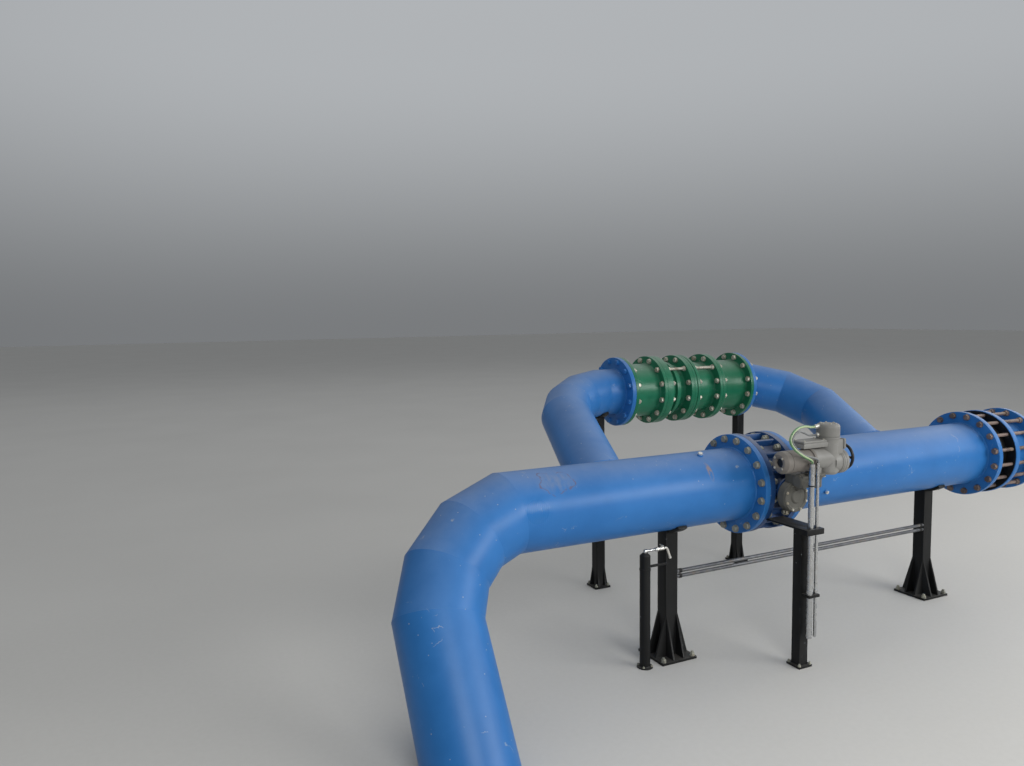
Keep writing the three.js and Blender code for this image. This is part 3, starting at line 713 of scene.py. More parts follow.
def saddle_cut(start, direction):
    """Where a line meets the main pipe, on the side of the bypass."""
    off = start - main_line
    across = direction.y ** 2 + direction.z ** 2
    half = off.y * direction.y + off.z * direction.z
    rest = off.y ** 2 + off.z ** 2 - main_outer ** 2
    return (-half + math.copysign(math.sqrt(half ** 2 - across * rest), direction.y)) / across


def cut_ring(point, direction, side, radius, cut, sides=128):
    """The points where a pipe's wall, of one radius, meets a cut."""
    up = (side - direction * side.dot(direction)).normalized()
    third = direction.cross(up)
    ring = []
    for k in range(sides):
        angle = math.tau * k / sides
        start = point + (up * math.cos(angle) + third * math.sin(angle)) * radius
        ring.append(start + direction * cut(start, direction))
    return ring


def pipe_wall(bm, start, end, side, outer, inner, start_cut, end_cut):
    direction = (end - start).normalized()
    rings = [
        cut_ring(start, direction, side, outer, start_cut),
        cut_ring(start, direction, side, outer, end_cut),
        cut_ring(start, direction, side, inner, end_cut),
        cut_ring(start, direction, side, inner, start_cut),
    ]
    corners = [[bm.verts.new(p) for p in ring] for ring in rings]
    for first, second in zip(corners, corners[1:] + corners[:1]):
        for k in range(len(first)):
            m = (k + 1) % len(first)
            bm.faces.new((first[k], first[m], second[m], second[k]))


def mitred_bend(corner, into, out_of, radius, cuts):
    """Where the cuts of a bend cross its centre line, and which way they face."""
    whole = into.angle(out_of)
    start = corner - into * (radius * math.tan(whole / 2))
    inward = (out_of - into * out_of.dot(into)).normalized()
    centre = start + inward * radius
    step = whole / cuts
    joints = []
    for k in range(cuts):
        angle = (k + 0.5) * step
        outward = into * math.sin(angle) - inward * math.cos(angle)
        point = centre + outward * (radius / math.cos(step / 2))
        joints.append((point, flat_cut(point, into * math.cos(angle) + inward * math.sin(angle))))
    return joints, into.cross(out_of).normalized()


# Weld beads: half sunk in the seam between two lengths of pipe, and larger where two surfaces meet
bead = 0.0042
bead_sink = 0.0034
bypass_bead = bead * 0.85
saddle_bead = 0.009
fillet_bead = 0.0065
bead_step = 0.0035
seam_points = 96
first_seam = -0.766


def weld(name, seams, radius, ripple, uneven, seed):
    run_along(name, seams, radius, "blue_paint", bead_step, ripple, uneven, 10, True, seed)


def welded_run(names, joints, side, outer, inner):
    """Pipe pieces from joint to joint. Gives back the rings of its inner joints, for the weld beads."""
    seams = []
    for name, (start, start_cut), (end, end_cut) in zip(names, joints, joints[1:]):
        direction = (end - start).normalized()
        bm = bmesh.new()
        pipe_wall(bm, start, end, side, outer, inner, start_cut, end_cut)
        stand_for(name, bm, "blue_paint")
        seams.append(cut_ring(start, direction, side, outer - bead_sink, end_cut, seam_points))
    return seams[:-1]


def square_end(line, x):
    """The end of a pipe that is cut square across."""
    point = line + x_axis * x
    return point, flat_cut(point, x_axis)


def segments(elbow, cuts):
    return [f"{elbow}_segment_{k}" for k in range(1, cuts)]


def level_ring(line, x, radius):
    return cut_ring(line + x_axis * x, x_axis, z_axis, radius, lambda start, direction: 0.0, seam_points)


main_corner = main_line + x_axis * (main_elbow_start - main_elbow_radius)
leg_up = Vector((0, math.sin(leg_tilt), math.cos(leg_tilt)))
leg_foot = main_corner - leg_up * (main_corner.z / leg_up.z)
main_joints, main_side = mitred_bend(main_corner, leg_up, x_axis, main_elbow_radius, main_elbow_cuts)
inlet_end = square_end(main_line, lying("valve_inlet_flange")[0])
main_seams = welded_run(
    ["drop_leg", *segments("main_elbow", main_elbow_cuts), "inlet_pipe"],
    [(leg_foot, flat_cut(leg_foot, z_axis)), *main_joints, inlet_end],
    main_side, main_outer, main_inner)

outlet_start = square_end(main_line, lying("valve_outlet_flange")[1])
outlet_end = square_end(main_line, lying("outlet_flange")[0])
welded_run(["outlet_pipe"], [outlet_start, outlet_end], z_axis, main_outer, main_inner)

branch_start = main_line + x_axis * branch_foot
branch_top = bypass_line + x_axis * branch_corner
branch_up = (branch_top - branch_start).normalized()
branch_joints, branch_side = mitred_bend(branch_top, branch_up, x_axis, branch_radius, branch_cuts)
branch_end = square_end(bypass_line, lying("bypass_inlet_flange")[0])
branch_seams = welded_run(
    ["branch_pipe", *segments("branch_elbow", branch_cuts), "branch_stub"],
    [(branch_start, saddle_cut), *branch_joints, branch_end],
    branch_side, bypass_outer, bypass_inner)

return_top = bypass_line + x_axis * return_corner
return_end = main_line + x_axis * return_foot
return_down = (return_end - return_top).normalized()
return_joints, return_side = mitred_bend(return_top, x_axis, return_down, return_radius, return_cuts)
return_start = square_end(bypass_line, lying("bypass_outlet_flange")[1])
return_seams = welded_run(
    ["return_stub", *segments("return_elbow", return_cuts), "return_pipe"],
    [return_start, *return_joints, (return_end, saddle_cut)],
    return_side, bypass_outer, bypass_inner)

# The bores where the bypass meets the main line
bores = {"inlet_pipe": (branch_start, branch_up), "outlet_pipe": (return_end, -return_down)}
bore_length = 0.4
for pipe, (point, direction) in bores.items():
    bore = bar(bmesh.new(), 0, bore_length, bypass_inner, aimed(point, direction), 96, 0.0)
    piece = carved(bpy.data.objects[f"{pipe}_fine"], placed("bore", mesh_from(bore, "bore")))
    shade(piece.data)

main_seams.append(level_ring(main_line, first_seam, main_outer - bead_sink))
weld("main_welds", main_seams, bead, 0.16, 0.12, 3)
weld("bypass_welds", branch_seams + return_seams, bypass_bead, 0.16, 0.12, 5)
saddles = [
    cut_ring(branch_start, branch_up, branch_side, bypass_outer, saddle_cut, seam_points),
    cut_ring(return_end, return_down, return_side, bypass_outer, saddle_cut, seam_points),
]
weld("saddle_welds", saddles, saddle_bead, 0.14, 0.15, 7)
tail_flange = 0.03
flange_seams = [level_ring(main_line, x, main_outer) for x in (
    lying("valve_inlet_flange")[0], lying("valve_outlet_flange")[1], lying("outlet_flange")[0],
    lying("make_up_tail")[1] - tail_flange)]
flange_seams += [level_ring(bypass_line, x, bypass_outer) for x in (
    lying("bypass_inlet_flange")[0], lying("bypass_outlet_flange")[1])]
weld("flange_welds", flange_seams, fillet_bead, 0.14, 0.12, 9)


# Flanges and castings of both lines
rim_edge = 0.0022
flange_rim = lying("valve_inlet_flange")[3]


def ring_outline(start, end, outer, inner):
    return softened([(start, inner, 0), (end, inner, 0), (end, outer), (start, outer)], rim_edge)


def turn_on(line):
    return Matrix.Translation(line)


def plain_flange(node, inner, finish="blue_paint", sides=160):
    start, end, line, radius = lying(node)
    bm = bmesh.new()
    turn(bm, ring_outline(start, end, radius, inner), turn_on(line), sides)
    stand_for(node, bm, finish)


for node in ("valve_inlet_flange", "valve_outlet_flange", "outlet_flange", "make_up_clamp_flange"):
    plain_flange(node, main_inner)
for node in ("bypass_inlet_flange", "bypass_outlet_flange"):
    plain_flange(node, bypass_inner)


def make_up_joint():
    """The black sleeve with its blue collar, a black ring that paints the shade on the clamp flange's face,
    and the tail pipe with its drilled flange.
    """
    start, end, line, radius = lying("make_up_sleeve")
    place = turn_on(line)
    sleeve = turned(bmesh.new(), [
        (start, main_inner, 0), (end, main_inner, 0), (end, radius), (end - 0.03, radius),
        (end - 0.034, radius - 0.004), (start, radius - 0.004),
    ], 0.001, place, 128)
    stand_for("make_up_sleeve", sleeve, "black_paint")
    collar = turned(bmesh.new(), [
        (start, radius - 0.006, 0), (start + 0.045, radius - 0.006, 0), (start + 0.045, radius + 0.002),
        (start + 0.04, radius + 0.01), (start, radius + 0.01, 0),
    ], 0.0015, place, 128)
    add_piece("make_up_collar", collar, "blue_paint")
    # Painted shade: a black ring laid over the clamp flange's face towards the sleeve, where that face lies
    # in shade.
    rim = lying("make_up_clamp_flange")[3] - 0.004
    painted_shade_ring = turned(bmesh.new(), [
        (end - 0.002, radius - 0.002, 0), (end + 0.001, radius - 0.002, 0), (end + 0.001, rim),
        (end - 0.002, rim),
    ], 0.001, place, 128)
    add_piece("make_up_painted_shade_ring", painted_shade_ring, "black_paint")

    start, end, line, radius = lying("make_up_tail")
    flange_start = end - tail_flange
    face_radius = 0.2
    step = 0.003
    tail = turned(bmesh.new(), [
        (start, main_inner, 0), (end, main_inner, 0.001), (end, face_radius, 0.001),
        (end - step, face_radius + 0.001, 0.001), (end - step, radius), (flange_start, radius),
        (flange_start, main_outer, 0.001), (start, main_outer, 0),
    ], rim_edge, turn_on(line), 160)
    tail = stand_for("make_up_tail", tail, "blue_paint")
    hole = bar(bmesh.new(), flange_start - 0.01, end + 0.01, main_bolt / 2 + 0.0015, Matrix(), 24, 0.0)
    holes = set_round("tail_holes", hole, main_bolts, main_bolt_circle, line, "blue_paint")
    shade(carved(tail, holes).data)


make_up_joint()


def valve_body():
    """The cast body with its ribs and the bosses of its stem, and the shut disc."""
    thick = 0.03
    waist = 0.206
    body = turned(bmesh.new(), [
        (valve_start, main_inner, 0), (valve_end, main_inner, 0), (valve_end, flange_rim),
        (valve_end - thick, flange_rim), (valve_end - thick, waist, 0.012),
        (valve_start + thick, waist, 0.012), (valve_start + thick, flange_rim), (valve_start, flange_rim),
    ], rim_edge, turn_on(main_line), 160, 4)
    middle = main_line + x_axis * valve_middle
    reach = -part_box("valve_body")[0].y
    boss = 0.048
    boss_foot = 0.18
    pad = 0.062
    far_reach = 0.24
    far_pad = 0.056
    turned(body, [
        (boss_foot, 0), (boss_foot, boss + 0.012), (0.21, boss, 0.008), (reach - 0.012, boss, 0.006),
        (reach - 0.012, pad), (reach, pad), (reach, 0),
    ], 0.002, aimed(middle, -y_axis), 64, 4)
    turned(body, [
        (boss_foot, 0), (boss_foot, boss + 0.012), (0.21, boss, 0.008), (0.226, boss), (0.228, far_pad),
        (far_reach, far_pad), (far_reach, 0),
    ], 0.002, aimed(middle, y_axis), 64, 4)
    stand_for("valve_body", body, "blue_casting")
    rib = bmesh.new()
    rib_start = valve_start + 0.02 - middle.x
    rib_end = valve_end - 0.02 - middle.x
    block(rib, (rib_start, 0.19, -0.007), (rib_end, 0.239, 0.007), 0.003)
    set_round("valve_ribs", rib, main_bolts, 0.0, middle, "blue_casting", first=0.0)
    disc = turned(bmesh.new(), [
        (-0.018, 0), (-0.018, 0.05, 0.02), (-0.009, 0.135, 0.02), (-0.009, 0.166), (0.009, 0.166),
        (0.009, 0.135, 0.02), (0.018, 0.05, 0.02), (0.018, 0),
    ], 0.003, Matrix.Translation(middle), 96, 4)
    stand_for("valve_disc", disc, "black_paint")


valve_body()


def green_casting(node, outline):
    line = lying(node)[2]
    stand_for(node, turned(bmesh.new(), outline, rim_edge, turn_on(line), 144, 4), "green_paint")


def bypass_fittings():
    """The green castings between the blue flanges."""
    spool = 0.161
    thick = 0.022
    fillet = 0.01
    for node in ("inlet_spool", "outlet_spool"):
        start, end, _, radius = lying(node)
        green_casting(node, [
            (start, bypass_inner, 0), (end, bypass_inner, 0), (end, radius), (end - thick, radius),
            (end - thick, spool, fillet), (start + thick, spool, fillet), (start + thick, radius),
            (start, radius),
        ])
    start, end, _, radius = lying("take_up_sleeve")
    flange_end = start + 0.045
    green_casting("take_up_sleeve", [
        (start, bypass_inner, 0), (end, bypass_inner, 0), (end, 0.15), (flange_end, 0.15, 0.008),
        (flange_end, radius, 0.004), (start, radius),
    ])
    plain_flange("take_up_gland_ring", bypass_inner, "green_paint", 144)
    start, end, _, radius = lying("take_up_tail")
    green_casting("take_up_tail", [
        (start, bypass_inner, 0), (end, bypass_inner, 0), (end, radius), (end - 0.025, radius),
        (end - 0.025, 0.143, 0.008), (start, 0.143, 0),
    ])
    start, end, _, radius = lying("check_valve_body")
    plate = 0.02
    groove = 0.004
    barrel = 0.152
    belt = barrel + 0.005
    cover = start + 2 * plate + groove
    green_casting("check_valve_body", [
        (start, bypass_inner, 0), (end, bypass_inner, 0), (end, radius), (end - thick, radius),
        (end - thick, barrel, fillet), (end - 0.07, barrel), (end - 0.074, belt), (cover + 0.04, belt),
        (cover + 0.036, barrel), (cover, barrel, fillet), (cover, radius), (start + plate + groove, radius),
        (start + plate + groove, 0.185), (start + plate, 0.185), (start + plate, radius), (start, radius),
    ])


bypass_fittings()


# Bolts, nuts, washers and rods

def hexagon(bm, start, end, size, open_end=1):
    """A nut or bolt head for a thread size, chamfered on its open end: 1 for the far one, -1 for the near."""
    corner = 0.866 * size
    cut = 0.12 * size
    if open_end == 1:
        outline = [(start, 0), (start, corner), (end - cut, corner), (end, corner * 0.9), (end, 0)]
    else:
        outline = [(start, 0), (start, corner * 0.9), (start + cut, corner), (end, corner), (end, 0)]
    turn(bm, outline, Matrix(), 6)


def washer(bm, start, end, size):
    radius = 0.93 * size
    turned(bm, [(start, 0), (start, radius), (end, radius), (end, 0)], 0.0006, Matrix(), 20, 1)


def stub(bm, start, end, size):
    sign = math.copysign(1, end - start)
    tip = 0.1 * size * sign
    turn(bm, [(start, 0), (start, size / 2), (end - tip, size / 2), (end, size / 2 - 0.1 * size), (end, 0)],
         Matrix(), 14)


def nut_at(bm, face, side, size, tail=0.45):
    """A washer and nut on a face, and the end of the bolt; side is the way it points along X."""
    thick = 0.15 * size
    high = 0.85 * size
    washer(bm, *sorted((face, face + side * thick)), size)
    hexagon(bm, *sorted((face + side * thick, face + side * (thick + high))), size, side)
    if tail:
        stub(bm, face, face + side * (thick + high + tail * size), size)


def head_at(bm, face, side, size):
    thick = 0.15 * size
    washer(bm, *sorted((face, face + side * thick)), size)
    hexagon(bm, *sorted((face + side * thick, face + side * (thick + 0.64 * size))), size, side)


def screws_round(name, count, radius, place, size, side=1, aim=(0, 0, 0), seed=1):
    """Hexagon heads round a circle on a face."""
    screw = bmesh.new()
    head_at(screw, 0, side, size)
    set_round(name, screw, count, radius, place, "zinc_bolt", roll=math.tau, aim=aim, seed=seed)


def bolted_joint(name, line, start, end, size, count, radius, seed,
                 heads=-1, painted=None, finish="zinc_bolt"):
    """Bolts through a joint, heads at one side and nuts at the other. A painted head has its own finish."""
    faces = (start, end) if heads == -1 else (end, start)
    bm = bmesh.new()
    nut_at(bm, faces[1], -heads, size)
    head = bmesh.new() if painted else bm
    head_at(head, faces[0], heads, size)
    if painted:
        set_round(f"{name}_heads", head, count, radius, line, painted, roll=math.tau, seed=seed)
    set_round(name, bm, count, radius, line, finish, roll=math.tau, seed=seed)


bolted_joint("valve_inlet_bolts", main_line, valve_start - 0.03, valve_start + 0.03, main_bolt, main_bolts,
             main_bolt_circle, 11, finish="dull_bolt")
bolted_joint("valve_outlet_bolts", main_line, valve_end - 0.03, valve_end + 0.03, main_bolt, main_bolts,
             main_bolt_circle, 13, heads=1, finish="dull_bolt")


def threaded_rod(start, end, size):
    """A rod with its thread, along X from the origin."""
    pitch = 0.125 * size
    path = [x_axis * start, x_axis * end]
    rod = run_along("rod", [path], size / 2, "zinc_bolt", pitch / 2, 0.07, 0.0, 10)
    bm = bmesh.new()
    bm.from_mesh(rod.data)
    bpy.data.objects.remove(rod)
    return bm


def make_up_rods():
    """Long bolts through the three flanges of the make-up joint."""
    start = lying("outlet_flange")[0]
    clamp_end = lying("make_up_clamp_flange")[1]
    end = lying("make_up_tail")[1]
    rod = bar(bmesh.new(), start, end - 0.006, main_bolt / 2, Matrix(), 20, 0.001)
    head_at(rod, start, -1, main_bolt)
    nut_at(rod, clamp_end, 1, main_bolt, 0)
    nut_at(rod, end - tail_flange, -1, main_bolt, 0)
    set_round("make_up_rods", rod, main_bolts, main_bolt_circle, main_line, "rusty_bolt",
              roll=math.tau, seed=17)


make_up_rods()

# The tie rods of the green fittings: how many, and the angle of the first
tie_rods = 2
tie_first = math.radians(135)


def bypass_joint(name, start, end, seed, painted=None):
    bolted_joint(name, bypass_line, start, end, bypass_bolt, bypass_bolts, bypass_bolt_circle, seed,
                 painted=painted)


def bypass_rods(name, start, end, seed):
    rod = threaded_rod(start, end, bypass_bolt)
    set_round(name, rod, tie_rods, bypass_bolt_circle, bypass_line, "zinc_bolt", first=tie_first, seed=seed)


def bypass_bolting():
    """Bolts through each joint of the bypass, and the tie rods over the two gaps between its flanges."""
    spool = lying("inlet_spool")
    sleeve = lying("take_up_sleeve")
    tail = lying("take_up_tail")
    check = lying("check_valve_body")
    outlet = lying("outlet_spool")
    thick = 0.022
    sleeve_face = sleeve[0] + 0.045
    tail_face = tail[1] - 0.025
    check_face = check[0] + 0.044
    bypass_joint("bypass_inlet_bolts", lying("bypass_inlet_flange")[0], spool[0] + thick, 21, "blue_paint")
    bypass_joint("take_up_bolts", spool[1] - thick, sleeve_face, 23)
    bypass_joint("check_valve_bolts", tail_face, check_face, 25)
    bypass_joint("outlet_spool_bolts", check[1] - thick, outlet[0] + thick, 27)
    bypass_joint("bypass_outlet_bolts", outlet[1] - thick, lying("bypass_outlet_flange")[1], 29)
    bypass_rods("take_up_rods", sleeve_face, tail_face, 31)
    bypass_rods("check_valve_rods", check_face, check[1] - thick, 33)


bypass_bolting()

# Supports, post, conduits and tie tubes
for node in ("inlet_support", "outlet_support", "branch_support", "return_support", "conduit_post"):
    softened_copy(node, "black_paint")


post_foot = (0.478, -0.375)


def foot_bolts(node, foot, out, size):
    """Four bolts, each as far out from the middle of the foot along X as along Y."""
    bolt = bmesh.new()
    nut_at(bolt, 0, 1, size, 0.6)
    set_round(f"{node}_anchors", bolt, 4, out * math.sqrt(2), foot, "dull_bolt", first=math.pi / 4,
              roll=math.tau, aim=turn_up, seed=41)


def anchors():
    """Four anchor bolts at each foot."""
    plate = 0.012
    for node in ("inlet_support", "outlet_support"):
        low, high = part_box(node)
        foot_bolts(node, ((low.x + high.x) / 2, main_line.y, plate), 0.084, 0.014)
    for node in ("branch_support", "return_support"):
        low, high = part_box(node)
        foot_bolts(node, ((low.x + high.x) / 2, bypass_line.y, plate), 0.0405, 0.01)
    foot_bolts("conduit_post", (*post_foot, 0.01), 0.0325, 0.008)


anchors()


def standing(node):
    """Radius, foot and top of a CAD tube that stands up, and the matrix that takes X up its centre line."""
    low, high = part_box(node)
    centre = (low + high) / 2
    return (high.x - low.x) / 2, low.z, high.z, aimed((centre.x, centre.y, 0), z_axis)


joint_height = 0.863
strap_height = 0.37


def conduits():
    """Two galvanised tubes with a bush in each top, a strap round each, and a joint in the large one."""
    wall = 0.0016
    plug_deep = 0.02
    strap = bmesh.new()
    for node in ("conduit_1", "conduit_2"):
        radius, foot, top, upright = standing(node)
        inner = radius - wall
        tube = turned(bmesh.new(), [
            (foot + plug_deep, 0), (foot + plug_deep, inner), (foot, inner), (foot, radius), (top, radius),
            (top, inner), (top - plug_deep, inner), (top - plug_deep, 0),
        ], 0.0006, upright, 40, 1)
        stand_for(node, tube, "galvanised_tube")
        bush = bar(bmesh.new(), top - 0.018, top + 0.002, inner, upright, 32, 0.001)
        add_piece(f"{node}_bush", bush, "black_plastic")
        band(strap, strap_height - 0.007, strap_height + 0.007, radius - 0.0002, radius + 0.0018, upright, 40)
    add_piece("conduit_strap", strap, "galvanised_tube")
    radius, _, _, upright = standing("conduit_1")
    joint = band(bmesh.new(), joint_height - 0.003, joint_height + 0.003, radius - 0.0002, radius + 0.001,
                 upright, 40)
    add_piece("conduit_1_joint", joint, "black_plastic")


conduits()


def tie_tubes():
    """The two thin tubes between the columns, with a clip at each end."""
    clips = bmesh.new()
    for node in ("tie_tube_upper", "tie_tube_lower"):
        start, end, line, radius = lying(node)
        place = turn_on(line)
        stand_for(node, bar(bmesh.new(), start, end, radius, place, 32, 0.001), "dull_tube")
        for x in (start + 0.02, end - 0.02):
            band(clips, x - 0.008, x + 0.008, radius, radius + 0.002, place, 32)
    add_piece("tie_tube_clips", clips, "black_paint")


tie_tubes()

# Valve drive: heights, and places along X and Y
case_front = -0.315
gearbox_height = 0.784
housing_ends = (0.47, 0.596)
input_x = 0.56
drive_y = -0.36
actuator_x = 0.65
cap_foot = 1.069
motor_height = 0.968
drum_height = 0.948
wheel_height = 0.965
wheel_x = 0.75


def gearbox():
    """A round worm case on the valve's stem, with the housing above it that takes the actuator."""
    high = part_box("gearbox")[1]
    deep = high.y - case_front
    cover = deep - 0.004
    centre = Vector((valve_middle, high.y, gearbox_height))
    case = turned(bmesh.new(), [
        (0, 0), (0, 0.068), (0.006, 0.075, 0.003), (deep - 0.012, 0.075, 0.003), (deep - 0.01, 0.0715),
        (cover, 0.0715, 0.002), (cover, 0.056), (deep - 0.007, 0.053, 0.002), (deep - 0.007, 0.034, 0.003),
        (deep - 0.002, 0.029, 0.003), (deep, 0.024, 0.002), (deep, 0),
    ], 0.0015, aimed(centre, -y_axis), 96, 4)
    left, right = housing_ends
    block(case, (left + 0.006, -0.382, 0.838), (right - 0.006, -0.265, 0.897), 0.01)
    turned(case, [
        (left, 0), (left, 0.024), (left + 0.005, 0.031), (left + 0.012, 0.031), (left + 0.012, 0.0345),
        (right - 0.012, 0.0345), (right - 0.012, 0.031), (right - 0.005, 0.031), (right, 0.024), (right, 0),
    ], 0.002, Matrix.Translation((0, -0.348, 0.868)), 64, 4)
    flange = high.z - 0.0125
    turned(case, [
        (0.837, 0), (0.837, 0.032), (0.842, 0.038, 0.003), (high.z - 0.03, 0.038, 0.01),
        (flange, 0.046, 0.004), (flange, 0.055), (high.z, 0.055), (high.z, 0),
    ], 0.0015, aimed((input_x, drive_y, 0), z_axis), 72, 4)
    stand_for("gearbox", case, "gearbox_paint")
    screws_round("gearbox_cover_screws", 8, 0.0635, centre - y_axis * cover, 0.007, 1, turn_near, 51)
    screws_round("gearbox_flange_screws", 4, 0.0475, (input_x, drive_y, flange), 0.008, -1, turn_up, 53)


gearbox()


def actuator():
    """The upright body with its cap, the neck that it stands on, and the covers round it."""
    low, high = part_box("actuator_body")
    foot = low.z
    body = turned(bmesh.new(), [
        (foot, 0), (foot, 0.042), (foot + 0.012, 0.0495, 0.006), (cap_foot - 0.014, 0.0505, 0.004),
        (cap_foot - 0.008, 0.053), (cap_foot - 0.001, 0.053), (cap_foot - 0.001, 0.0495),
        (cap_foot + 0.001, 0.0495), (cap_foot + 0.001, 0.053), (high.z - 0.012, 0.053, 0.004),
        (high.z - 0.004, 0.049, 0.003), (high.z, 0.042, 0.003), (high.z, 0),
    ], 0.0015, aimed((actuator_x, drive_y, 0), z_axis), 96, 4)
    turned(body, [
        (foot, 0), (foot, 0.055), (foot + 0.007, 0.055), (foot + 0.007, 0.036, 0.006),
        (motor_height, 0.036, 0), (motor_height, 0),
    ], 0.0015, aimed((input_x, drive_y, 0), z_axis), 72, 4)
    motor_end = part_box("actuator_motor")[1].x
    turned(body, [
        (motor_end, 0), (motor_end, 0.055), (motor_end + 0.009, 0.055), (motor_end + 0.012, 0.05, 0.003),
        (actuator_x, 0.05, 0), (actuator_x, 0),
    ], 0.0015, Matrix.Translation((0, drive_y, motor_height)), 72)
    drum_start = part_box("actuator_drum")[0].x
    turned(body, [
        (actuator_x, 0), (actuator_x, 0.055, 0), (drum_start - 0.008, 0.055), (drum_start - 0.007, 0.0585),
        (drum_start, 0.0585), (drum_start, 0),
    ], 0.0015, Matrix.Translation((0, drive_y, drum_height)), 72)

    # The side cover on its raised seat, and the terminal box with its lid
    block(body, (actuator_x, -0.408, 0.988), (drum_start - 0.0005, -0.312, 1.057), 0.005)
    block(body, (drum_start - 0.002, -0.413, 1.0105), (high.x, -0.307, 1.06), 0.005)
    block(body, (low.x + 0.003, -0.395, 1.0255), (actuator_x - 0.02, -0.325, 1.05), 0.004)
    block(body, (low.x, -0.398, 1.0505), (actuator_x - 0.046, -0.322, 1.06), 0.003)
    stand_for("actuator_body", body, "grey_paint")
    screws_round("actuator_cap_screws", 6, 0.034, (actuator_x, drive_y, high.z), 0.005, 1, turn_up, 61)
    cover_screws(high.x, low.x)


def cover_screws(cover_face, box_left):
    """A screw at each corner of the side cover and of the terminal box's lid."""
    places = [Matrix.Translation((cover_face, y, z)) for y in (-0.402, -0.318) for z in (1.021, 1.05)]
    for x in (box_left + 0.012, actuator_x - 0.058):
        places += [aimed((x, y, 1.06), z_axis) for y in (-0.388, -0.332)]
    screws = bmesh.new()
    for place in places:
        turn(screws, [(0, 0), (0, 0.0052), (0.003, 0.0052), (0.0038, 0.0046), (0.0038, 0)], place, 6)
    add_piece("actuator_cover_screws", screws, "zinc_bolt")


def actuator_motor():
    """The motor on the actuator's side, with a recessed plug in its end."""
    start, end, line = lying("actuator_motor")[:3]
    place = turn_on(line)
    motor = turned(bmesh.new(), [
        (start + 0.012, 0), (start + 0.012, 0.021, 0), (start + 0.002, 0.0235), (start, 0.026),
        (start, 0.038, 0.004), (start + 0.015, 0.0515, 0.008), (start + 0.04, 0.0525),
        (start + 0.041, 0.0505), (start + 0.045, 0.0505), (start + 0.046, 0.0525), (end - 0.03, 0.0525),
        (end - 0.014, 0.051, 0.002), (end - 0.014, 0.056), (end, 0.056), (end, 0),
    ], 0.0015, place, 96, 4)
    stand_for("actuator_motor", motor, "motor_paint")
    plug = bar(bmesh.new(), start + 0.0115, start + 0.0145, 0.0195, place, 32, 0.0008)
    add_piece("motor_end_plug", plug, "black_plastic")
    screws_round("motor_end_screws", 4, 0.0325, line + x_axis * start, 0.006, -1, seed=64)


def actuator_drum():
    """The round drum that carries the handwheel's bearing."""
    low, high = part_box("actuator_drum")
    end = high.x - 0.003
    line = Vector((0, drive_y, drum_height))
    drum = turned(bmesh.new(), [
        (low.x, 0), (low.x, 0.06), (low.x + 0.011, 0.06), (low.x + 0.0115, 0.058), (low.x + 0.0135, 0.058),
        (low.x + 0.014, 0.06), (end - 0.006, 0.06), (end, 0.054), (end, 0),
    ], 0.0015, turn_on(line), 96, 4)
    bar(drum, end - 0.002, high.x, 0.02, Matrix.Translation((0, drive_y, wheel_height)), 40, 0.001)
    stand_for("actuator_drum", drum, "grey_paint")
    screws_round("drum_screws", 4, 0.045, line + x_axis * end, 0.006, seed=65)


def handwheel():
    """Rim, three spokes, hub and the nut that caps it."""
    low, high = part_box("actuator_handwheel")
    rim = 0.058
    thick = 0.007
    points = 16
    line = Vector((0, drive_y, wheel_height))
    place = turn_on(line)
    angles = [math.tau * k / points for k in range(points)]
    wheel = bmesh.new()
    turn(wheel, [(wheel_x + thick * math.cos(a), rim + thick * math.sin(a)) for a in angles], place, 64)
    turned(wheel, [(low.x, 0), (low.x, 0.016), (high.x - 0.004, 0.015), (high.x, 0.011), (high.x, 0)],
           0.0015, place, 40)
    stand_for("actuator_handwheel", wheel, "black_plastic", "handwheel")
    spoke = bmesh.new()
    block(spoke, (-0.0035, 0.008, -0.006), (0.0035, rim, 0.006), 0.002)
    set_round("handwheel_spokes", spoke, 3, 0.0, line + x_axis * wheel_x, "black_plastic",
              first=math.pi, body="handwheel")
    nut = bar(bmesh.new(), high.x - 0.001, high.x + 0.002, 0.006, place, 20, 0.0008)
    add_piece("handwheel_cap", nut, "zinc_bolt", "handwheel")


cable_1_radius = 0.006
cable_2_radius = 0.005
gland_y = -0.35
route_1 = [
    Vector((0.477, -0.43, 0.9643)),
    Vector((0.477, -0.43, 0.975)),
    Vector((0.452, -0.438, 0.988)),
    Vector((0.41, -0.44, 1.008)),
    Vector((0.362, -0.44, 1.04)),
    Vector((0.338, -0.436, 1.078)),
    Vector((0.356, -0.43, 1.11)),
    Vector((0.402, -0.415, 1.129)),
    Vector((0.47, -0.388, 1.13)),
    Vector((0.548, gland_y, 1.117)),
    Vector((0.5737, gland_y, 1.117)),
]
route_2 = [
    Vector((0.514, -0.43, 0.9673)),
    Vector((0.514, -0.43, 0.978)),
    Vector((0.49, -0.428, 0.99)),
    Vector((0.44, -0.425, 1.003)),
    Vector((0.397, -0.425, 1.03)),
    Vector((0.371, -0.425, 1.056)),
    Vector((0.362, -0.424, 1.079)),
    Vector((0.377, -0.422, 1.104)),
    Vector((0.412, -0.416, 1.114)),
    Vector((0.45, -0.405, 1.105)),
    Vector((0.5, -0.385, 1.088)),
    Vector((0.558, gland_y, 1.078)),
    Vector((0.5857, gland_y, 1.078)),
]


